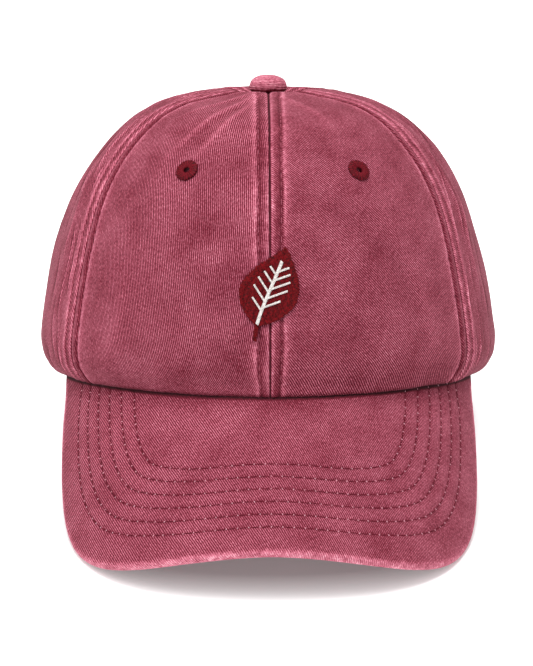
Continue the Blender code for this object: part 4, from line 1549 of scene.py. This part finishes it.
class Peak:
    """The curved peak with its rows of stitches."""

    COLUMNS = 236
    TOP_ROWS = 84
    EDGE_ROWS = 10
    UNDER_ROWS = 34
    FIRST_ROW = 12.0 * MM
    ROW_PITCH = 5.72 * MM
    ROWS = 6
    SIDE_SPREAD = 0.04
    SIDE_SHIFT = 1.1 * MM
    STITCH = 3.25 * MM
    GAP = 0.75 * MM
    THREAD = 0.42 * MM
    TUCK = 1.0 * MM

    def row_distances(self) -> Array:
        """Return how far each row of stitches runs from the edge."""
        return self.FIRST_ROW + self.ROW_PITCH * np.arange(self.ROWS)

    def cross_section(self) -> Array:
        """Return each row's share inwards, its own inset and its turn at the edge."""
        top = np.linspace(1.0, 0.0, self.TOP_ROWS + 1)
        edge = np.linspace(0.0, math.pi, self.EDGE_ROWS + 1)[1:-1]
        under = np.linspace(0.0, 1.0, self.UNDER_ROWS + 1)
        rows = [(share, 0.0) for share in top]
        rows += [(0.0, turn) for turn in edge]
        rows += [(share, math.pi) for share in under]
        rows.append((1.0, 0.0))
        return np.array(rows)

    def place(self, column: Array, row: Array) -> Cloth:
        """Return the peak's cloth at corners given by column and row."""
        section = self.cross_section()
        inward, turn = section[row, 0], section[row, 1]
        share = 2 * column / self.COLUMNS - 1
        outer = PEAK.rim(share)
        inner = np.stack((PEAK.end * share, PEAK.seam(PEAK.end * share) - self.TUCK), axis=-1)
        width = np.linalg.norm(inner - outer, axis=1)
        round_off = np.minimum(PEAK.thickness / 2, width * 0.45)
        away = round_off * (1 - np.sin(turn)) + (width - round_off) * inward
        flat = outer + (inner - outer) * (away / width)[:, None]
        depth = PEAK.thickness / 2 * (1 - np.cos(turn))
        from_edge, share_way = PEAK.from_edge(flat)
        upper = turn < math.pi / 2
        relief, groove = self.rows_relief(flat, self.row_place(from_edge, share_way))
        lift = -depth + np.where(upper, relief, -relief * 0.6)
        noise_at = np.concatenate((flat, depth[:, None] * 3), axis=1)
        lift += np.where(upper, 1, -1) * 0.07 * MM * roughness_at(noise_at, 9 * MM, 2.3)
        edge = 1 - smooth_step(0.2 * MM, 3.0 * MM, from_edge)
        wear = 1.00 * edge * (0.8 + 0.4 * roughness_at(noise_at, 6 * MM, 8.1)) + 0.10 * (1 - groove)
        # Painted shade in the stitch grooves, and a painted shadow on the peak under the crown's
        # edge.
        shade = 0.16 * groove
        from_seam = np.abs(away + self.TUCK - width)
        shade += upper * (1.30 * (1 - smooth_step(0.3 * MM, 1.2 * MM, from_seam)))
        shade += upper * (0.16 * (1 - smooth_step(1.0 * MM, 9.0 * MM, from_seam)))
        under = turn > math.pi - CROWN.probe
        ahead = (width - round_off) * inward
        way = np.where(under, -math.pi * round_off - ahead, ahead - round_off * turn)
        pattern = outer + (inner - outer) * ((round_off + way) / width)[:, None]
        return Cloth(PEAK.point(flat[:, 0], flat[:, 1], lift), pattern, wear, shade)

    def sideways(self, share: Array) -> Array:
        """Return how far places of the outline have turned to its sides, 0 to 1."""
        return smooth_step(0.12, 0.38, np.abs(share))

    def row_place(self, from_edge: Array, share: Array) -> Array:
        """Return distances from the edge as rows count them, wider at the sides."""
        side = self.sideways(share)
        return (from_edge - self.SIDE_SHIFT * side) / (1 + self.SIDE_SPREAD * side)

    def rows_relief(self, flat: Array, from_edge: Array) -> tuple[Array, Array]:
        """Return the height and the groove of the stitch rows at places."""
        relief = np.zeros(len(flat))
        groove = np.zeros(len(flat))
        puff = roughness_at(np.concatenate((flat, flat[:, :1] * 0), axis=1), 5 * MM, 5.9)
        for distance in self.row_distances():
            aside = (from_edge - distance) / (0.60 * MM)
            dip = np.exp(-aside * aside)
            groove += dip
            relief -= 0.14 * MM * dip * (1 + 0.4 * puff)
        low, high = self.row_distances()[0], self.row_distances()[-1]
        between = smooth_step(low - 3 * MM, low, from_edge)
        between = between * (1 - smooth_step(high, high + 4 * MM, from_edge))
        ripple = 0.06 * MM * np.cos((from_edge - low) / self.ROW_PITCH * 2 * math.pi + math.pi)
        return relief + between * ripple, groove

    def stitch_line(self, distance: float) -> Array:
        """Return the flat line of a row of stitches, an offset of the outline."""
        outline, share = PEAK.whole_outline()
        ahead = np.gradient(outline, axis=0)
        ahead = ahead / np.linalg.norm(ahead, axis=1, keepdims=True)
        inward = np.stack((ahead[:, 1], -ahead[:, 0]), axis=-1)
        side = self.sideways(share)
        reach = distance * (1 + self.SIDE_SPREAD * side) + self.SIDE_SHIFT * side
        line = outline + inward * reach[:, None]
        kept = PEAK.from_edge(line)[0] > reach - 0.12 * MM
        inside = line[:, 1] > PEAK.seam(line[:, 0]) + 0.4 * MM
        return line[kept & inside & (np.abs(line[:, 0]) < PEAK.end)]

    def build(self) -> None:
        """Make the peak and sew its rows."""
        rows = len(self.cross_section()) - 1
        mesh = cloth_mesh("peak_cloth", self.COLUMNS, rows, self.place)
        shape = bmesh.new()
        shape.from_mesh(mesh)
        bmesh.ops.remove_doubles(shape, verts=shape.verts[:], dist=MERGE)
        ends = [edge for edge in shape.edges if edge.is_boundary]
        bmesh.ops.holes_fill(shape, edges=ends, sides=0)
        shape.to_mesh(mesh)
        shape.free()
        finish = WashedTwill("washed_twill_peak", slant=math.radians(27.0), level=0.43)
        piece = finished_object("peak_cloth", mesh, finish)
        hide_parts("peak")
        work = StitchWork()
        knots = StitchWork()
        for distance in self.row_distances():
            flat = self.stitch_line(distance)
            zero = np.zeros(len(flat))
            line = PEAK.point(flat[:, 0], flat[:, 1], zero - 0.14 * MM)
            ups = PEAK.normal(flat[:, 0], flat[:, 1])
            gaps = work.run(line, ups, self.STITCH, self.GAP, self.THREAD)
            spots = [spot for spot, _ in gaps]
            for (spot, up), ahead in zip(gaps, np.diff(spots + spots[-1:], axis=0)):
                way = np.cross(up, ahead if np.linalg.norm(ahead) > 0 else (1.0, 0.0, 0.0))
                way = way / np.linalg.norm(way) * 0.36 * MM
                knots.lay(spot - way, spot + way, up, 0.42 * MM, 0.34 * MM)
        work.piece("peak_stitches", PEAK_THREAD)
        knots.piece("peak_stitch_holes", FADED_THREAD)
        LOG.info("peak: %d stitches in %d rows", len(work.stitches), self.ROWS)


@dataclass(frozen=True)
class Motif:
    """A generic leaf, embroidered on the front seam."""

    height: float = 0.0403
    half_length: float = 0.0158
    half_width: float = 0.0112
    lean: float = math.radians(16.0)
    pitch: float = 0.00052
    thread: float = 0.00062
    shift: float = 0.0006

    VEINS = ((-10.0, 5.6), (-6.4, 6.8), (-2.8, 6.4), (0.8, 5.2), (4.2, 3.8))
    SATIN_SLOPE = math.radians(38.0)
    READS = 221

    def on_cloth(self, places: Array, lift: float) -> tuple[Array, Array]:
        """Return points and normals on the crown for places of the flat motif."""
        cosine, sine = math.cos(self.lean), math.sin(self.lean)
        turn = np.array(((cosine, sine), (-sine, cosine)))
        turned = places @ turn.T
        middle = float(CROWN.level_of_height(np.array([self.height]))[0])
        level = middle + turned[:, 1] / CROWN.length
        angle = (turned[:, 0] + self.shift) / CROWN.radius(level)
        side = np.abs(angle) * CROWN.radius(level)
        swell = 0.75 * MM * (1 - smooth_step(6 * MM, 11 * MM, side)) + 0.12 * MM
        return CROWN.point(angle, level, swell + lift), CROWN.normal(angle, level)

    def reach(self, along: Array) -> Array:
        """Return the leaf's half width at places along its rib."""
        share = np.clip((along + self.half_length) / (2 * self.half_length), 0.0, 1.0)
        return self.half_width * np.sin(math.pi * share ** 0.78) ** 1.05

    def rib(self, along: Array) -> Array:
        """Return how far the leaf's rib bends aside."""
        return 0.0016 * np.sin(along / self.half_length * 1.5)

    def sew(self, work: StitchWork, start: Array, end: Array, lift: float, width: float) -> None:
        """Lay one thread of the motif, in lengths that follow the cloth."""
        long = float(np.linalg.norm(end - start))
        count = max(1, int(math.ceil(long / (3.2 * MM))))
        shares = np.linspace(0.0, 1.0, count + 1)
        places = start[None, :] + (end - start)[None, :] * shares[:, None]
        points, ups = self.on_cloth(places, lift)
        for i in range(count):
            over = (points[i + 1] - points[i]) * 0.10
            work.lay(points[i] - over, points[i + 1] + over, ups[i], width, width * 0.75)

    def fill_leaf(self, work: StitchWork) -> None:
        """Fill both halves with slanted satin threads."""
        jitter = np.random.default_rng(21)
        for side in (-1.0, 1.0):
            for start in np.arange(-self.half_length * 1.25, self.half_length, self.pitch):
                ways = np.linspace(0.0, 0.022, self.READS)
                along = start + ways * math.sin(self.SATIN_SLOPE)
                aside = ways * math.cos(self.SATIN_SLOPE)
                inside = (aside < self.reach(along)) & (np.abs(along) < self.half_length)
                if inside.sum() < 6:
                    continue
                first, last = np.flatnonzero(inside)[[0, -1]]
                last = min(last + int(jitter.integers(-2, 4)), self.READS - 1)
                ends = [
                    np.array((self.rib(along[i]) + side * aside[i], along[i]))
                    for i in (first, last)
                ]
                lift = 0.22 * MM + jitter.uniform(0, 0.05) * MM
                self.sew(work, ends[0], ends[1], lift, self.thread)

    def satin(self, work: StitchWork, line: Array, width: float, lift: float) -> None:
        """Cover a line with short threads across it."""
        ways = ways_along(line)
        reads = np.arange(0.0, ways[-1], self.pitch * 0.95)
        at = read_line(line, ways, reads)
        ahead = np.gradient(at, axis=0)
        ahead = ahead / np.linalg.norm(ahead, axis=1, keepdims=True)
        across = np.stack((-ahead[:, 1], ahead[:, 0]), axis=-1) + 0.35 * ahead
        for spot, way in zip(at, across):
            self.sew(work, spot - way * width / 2, spot + way * width / 2, lift, self.thread)

    def build(self) -> None:
        """Embroider the leaf, its light veins and its stem."""
        dark = StitchWork()
        self.fill_leaf(dark)
        along = np.linspace(-self.half_length - 0.0052, -self.half_length + 0.001, 20)
        stem = np.stack((self.rib(along) - 0.10 * (along + self.half_length), along), axis=-1)
        self.satin(dark, stem, 1.5 * MM, 0.30 * MM)
        dark.piece("motif_leaf", MAROON_FLOSS)
        light = StitchWork()
        along = np.linspace(-self.half_length + 0.0008, self.half_length * 0.62, 40)
        self.satin(light, np.stack((self.rib(along), along), axis=-1), 1.15 * MM, 0.66 * MM)
        for start, reach in self.VEINS:
            for side, late in ((-1.0, 0.0), (1.0, 1.3)):
                share = np.linspace(0.0, 1.0, 14)
                along = (start + late) * MM + share * reach * MM * 0.72
                aside = side * share * reach * MM * 0.95
                vein = np.stack((self.rib(along) + aside, along), axis=-1)
                self.satin(light, vein, 0.70 * MM, 0.64 * MM)
        light.piece("motif_veins", WHITE_FLOSS)
        LOG.info("motif: %d threads", len(dark.stitches) + len(light.stitches))


@dataclass(frozen=True)
class Sweatband:
    """The band inside the crown's edge, with its two rows of stitches."""

    height: float = 0.0320
    thickness: float = 0.0012
    ease: float = 0.0008
    lift: float = 0.0012
    gap: float = 0.0015
    columns: int = 300
    rows: int = 28

    SEWN_AT = (0.07, 0.93)

    def depth(self) -> float:
        """Return how deep the band's inner face lies in the crown."""
        return CLOTH + self.ease + self.thickness

    def ends_at(self) -> float:
        """Return how far from the back's middle the band ends."""
        return Strap.END + self.gap

    def levels(self, share_up: Array, share_across: Array) -> tuple[Array, Array]:
        """Return angles and levels of places on the band."""
        level = CROWN.level_of_height(self.lift + self.height * share_up)
        across = CROWN.half_width * math.sin(self.ends_at() / CROWN.half_width)
        return CROWN.back_angle(np.full(level.shape, across), level) * (2 * share_across - 1), level

    def place(self, column: Array, row: Array) -> Cloth:
        """Return the band's inner face at corners given by column and row."""
        up = row / self.rows
        angle, level = self.levels(up, 1 - column / self.columns)
        rough = CROWN.skin(angle, level)
        pucker = roughness_at(rough, 5 * MM, 12.0)
        stitched = sum(np.exp(-((up - sewn) / 0.035) ** 2) for sewn in self.SEWN_AT)
        relief = 0.25 * MM * stitched - 0.10 * MM * pucker
        around = angle * CROWN.radius(level)
        pattern = np.stack((around, level * CROWN.length), axis=-1)
        wear = 0.15 + 0.5 * (np.abs(up - 0.5) > 0.485)
        points = CROWN.point(angle, level, relief - self.depth())
        # Painted shade along the stitched rows.
        return Cloth(points, pattern, wear, 0.35 * stitched)

    def build(self) -> None:
        """Make the band and sew it."""
        mesh = cloth_mesh("sweatband_cloth", self.columns, self.rows, self.place)
        finish = WashedTwill(
            "band_cotton_twill",
            slant=math.radians(45.0),
            pitch=0.0011,
            deep=(98, 34, 50),
            dyed=(146, 66, 83),
            faded=(198, 132, 146),
            bare=(214, 158, 170),
            rib=0.30,
        )
        piece = finished_object("sweatband_cloth", mesh, finish)
        thicken(piece, self.thickness)
        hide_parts("sweatband")
        around = 2 * math.pi * float(CROWN.radius(np.array([0.1]))[0])
        work = StitchWork()
        for up in self.SEWN_AT:
            across = np.linspace(0.995, 0.005, 900)
            angle, level = self.levels(np.full(900, up), across)
            line = CROWN.point(angle, level, np.full(900, 0.10 * MM - self.depth()))
            work.run(line, -CROWN.normal(angle, level), 2.8 * MM, 1.0 * MM, 0.42 * MM)
        work.piece("sweatband_stitches", SEAM_THREAD)


class Strap:
    """The strap across the opening, its tab and its slide."""

    HEIGHT = 0.0200
    EASE = 0.0009
    RAIL = 0.0016
    RAIL_EASE = 0.0005
    OVERLAP = 0.0120
    SLIDE_LENGTH = 0.0260
    SLIDE_PLACE = 0.0140
    LEAD = 0.0035
    SHIFT_LENGTH = 0.0120
    TAIL = 0.0180
    END = CROWN.half_width * math.asin(BackGore.ARCH_HALF / CROWN.half_width) + OVERLAP
    LAYER = CLOTH + EASE
    LOW = RAIL + RAIL_EASE
    ROWS = 24
    CELL = 0.8 * MM
    SEWN_IN = 2.2 * MM

    @classmethod
    def edge_point(cls, distance: Array, height: Array, lift: Array) -> tuple[Array, Array]:
        """Return points near the back edge, level with their heights, and outward ways."""
        level = CROWN.level_of_height(np.maximum(height, 0.0))
        angle = CROWN.back_angle(CROWN.half_width * np.sin(distance / CROWN.half_width), level)
        point = CROWN.skin(angle, level)
        outward = CROWN.normal(angle, level) * (1.0, 1.0, 0.0)
        outward = outward / np.linalg.norm(outward, axis=-1, keepdims=True)
        point = point + outward * np.asarray(lift)[..., None]
        return np.stack((point[..., 0], point[..., 1], height + CLEARANCE), axis=-1), outward

    @classmethod
    def depth(cls, distance: Array) -> Array:
        """Return the long strap's depth: behind the panel, then behind the slide's bars."""
        start = cls.SLIDE_PLACE - cls.SLIDE_LENGTH / 2 - cls.LEAD - cls.SHIFT_LENGTH
        share = smooth_step(start, start + cls.SHIFT_LENGTH, distance)
        return cls.LAYER + (CLOTH + CLEARANCE) * share

    @classmethod
    def tab_depth(cls, distance: Array) -> Array:
        """Return the tab's depth, the same everywhere."""
        return np.full(distance.shape, cls.LAYER)

    @classmethod
    def build_length(
        cls, name: str, start: float, end: float, depth: Callable[[Array], Array], node: str
    ) -> None:
        """Make one length of strap.

        Args:
            name: the piece's name.
            start: where it starts, from the back's middle towards +X.
            end: where it ends.
            depth: how deep its outer face lies at distances.
            node: the solid that it stands for.
        """
        columns = int((end - start) / cls.CELL)

        def place(column: Array, row: Array) -> Cloth:
            """Return the strap's cloth at corners given by column and row."""
            distance = start + (end - start) * (1 - column / columns)
            up = row / cls.ROWS
            height = cls.LOW + cls.HEIGHT * up
            from_edge = np.minimum(up, 1 - up) * cls.HEIGHT
            groove = np.exp(-((from_edge - cls.SEWN_IN) / (0.5 * MM)) ** 2)
            edge = 1 - smooth_step(0.0, 1.2 * MM, from_edge)
            relief = -0.16 * MM * groove - 0.20 * MM * edge
            points, _ = cls.edge_point(distance, height, relief - depth(distance))
            pattern = np.stack((distance, height), axis=-1)
            wear = 0.75 * edge + 0.1 * roughness_at(points, 6 * MM, 3.0)
            # Painted shade in the stitch grooves.
            return Cloth(points, pattern, wear, 0.4 * groove)

        mesh = cloth_mesh(name, columns, cls.ROWS, place)
        mesh.flip_normals()
        finish = WashedTwill("washed_twill_" + name, slant=math.radians(40.0))
        piece = finished_object(name, mesh, finish)
        thicken(piece, CLOTH)
        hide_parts(node)
        work = StitchWork()
        for height in (cls.SEWN_IN, cls.HEIGHT - cls.SEWN_IN):
            distance = np.linspace(start + 2 * MM, end - 2 * MM, 200)
            lift = -0.06 * MM - depth(distance)
            line, ups = cls.edge_point(distance, np.full(200, cls.LOW + height), lift)
            work.run(line, ups, 2.6 * MM, 0.9 * MM, 0.42 * MM)
        work.piece(name + "_stitches", SEAM_THREAD)

    def build(self) -> None:
        """Make the strap, the tab and the slide's finish."""
        tail = self.SLIDE_PLACE + self.SLIDE_LENGTH / 2 + self.TAIL
        self.build_length("strap_cloth", -self.END, tail, self.depth, "strap")
        tab = self.SLIDE_PLACE + self.SLIDE_LENGTH / 2 + CLEARANCE
        self.build_length("strap_tab_cloth", tab, self.END, self.tab_depth, "strap_tab")
        slide = frame["nodes"]["clasp"]
        slide.data.materials.clear()
        slide.data.materials.append(AgedBrass().material())
        LOG.info("strap, tab and slide")


class Lamp(NamedTuple):
    """A soft square light: its name, place, size in metres and power in watts."""

    name: str
    place: tuple[float, float, float]
    size: float
    power: float


@dataclass(frozen=True)
class Studio:
    """The floor, the lights and the camera."""

    distance: float = 1.300
    focal_px: float = 3274.6
    picture: tuple = (533, 666)
    rise: float = math.radians(6.2)
    yaw: float = math.radians(0.5)
    aim_up: float = 0.0127
    aim_px: float = 268.0
    world: float = 0.52

    SENSOR = 36.0
    LAMPS = (
        Lamp("key", (-0.60, -0.70, 2.2), 1.2, 24.0),
        Lamp("top", (0.10, -0.08, 2.3), 1.4, 46.0),
        Lamp("left", (-1.9, -0.5, 1.1), 1.2, 14.0),
        Lamp("right", (1.9, -0.3, 1.1), 1.2, 8.0),
    )

    def build_camera(self) -> None:
        """Set the camera up at the photo's angle to the cap."""
        cosine, sine = math.cos(self.yaw), math.sin(self.yaw)
        level = math.cos(self.rise)
        toward = Vector((-sine * level, -cosine * level, math.sin(self.rise)))
        right = Vector((cosine, -sine, 0.0))
        up = toward.cross(right)
        spot = Vector((0.0, 0.0, self.aim_up + CLEARANCE)) + toward * self.distance
        turn = Matrix((right, up, toward)).transposed().to_4x4()
        data = bpy.data.cameras.new("camera")
        data.sensor_width = self.SENSOR
        data.lens = self.focal_px / max(self.picture) * data.sensor_width
        data.shift_x = (self.picture[0] / 2 - self.aim_px) / max(self.picture)
        data.clip_end = 20.0
        camera = bpy.data.objects.new("camera", data)
        bpy.context.scene.collection.objects.link(camera)
        camera.matrix_world = REST @ Matrix.Translation(spot) @ turn
        bpy.context.scene.camera = camera

    def build_floor(self) -> None:
        """Lay a pale floor that glows as painted light."""
        paper = bmesh.new()
        bmesh.ops.create_circle(paper, cap_ends=True, segments=64, radius=4.0)
        mesh = mesh_from(paper, "floor")
        mesh.materials.append(StudioFloor().material())
        floor = bpy.data.objects.new("floor", mesh)
        bpy.context.scene.collection.objects.link(floor)

    def build_light(self, lamp: Lamp) -> None:
        """Hang a light that faces the cap."""
        data = bpy.data.lights.new(lamp.name, "AREA")
        data.size = lamp.size
        data.energy = lamp.power
        light = bpy.data.objects.new(lamp.name, data)
        bpy.context.scene.collection.objects.link(light)
        light.location = lamp.place
        way = Vector((0.0, 0.0, 0.05)) - Vector(lamp.place)
        light.rotation_euler = way.to_track_quat("-Z", "Y").to_euler()

    def build(self) -> None:
        """Set the studio up."""
        self.build_camera()
        self.build_floor()
        for lamp in self.LAMPS:
            self.build_light(lamp)
        world = bpy.data.worlds.new("studio")
        world.use_nodes = True
        sky = world.node_tree.nodes["Background"]
        sky.inputs["Color"].default_value = (1.0, 1.0, 1.0, 1.0)
        sky.inputs["Strength"].default_value = self.world
        scene = bpy.context.scene
        scene.world = world
        scene.view_settings.view_transform = "Standard"
        scene.cycles.denoising_prefilter = "NONE"


def main() -> None:
    """Build the cap's pieces in order, then the studio."""
    logging.basicConfig(level=logging.INFO, format="%(name)s: %(message)s")
    crown = Crown()
    crown.build_panels()
    crown.build_seam_stitches()
    crown.build_eyelets()
    Button().build()
    Peak().build()
    Motif().build()
    Sweatband().build()
    Strap().build()
    Studio().build()


if __name__ == "__main__":
    main()
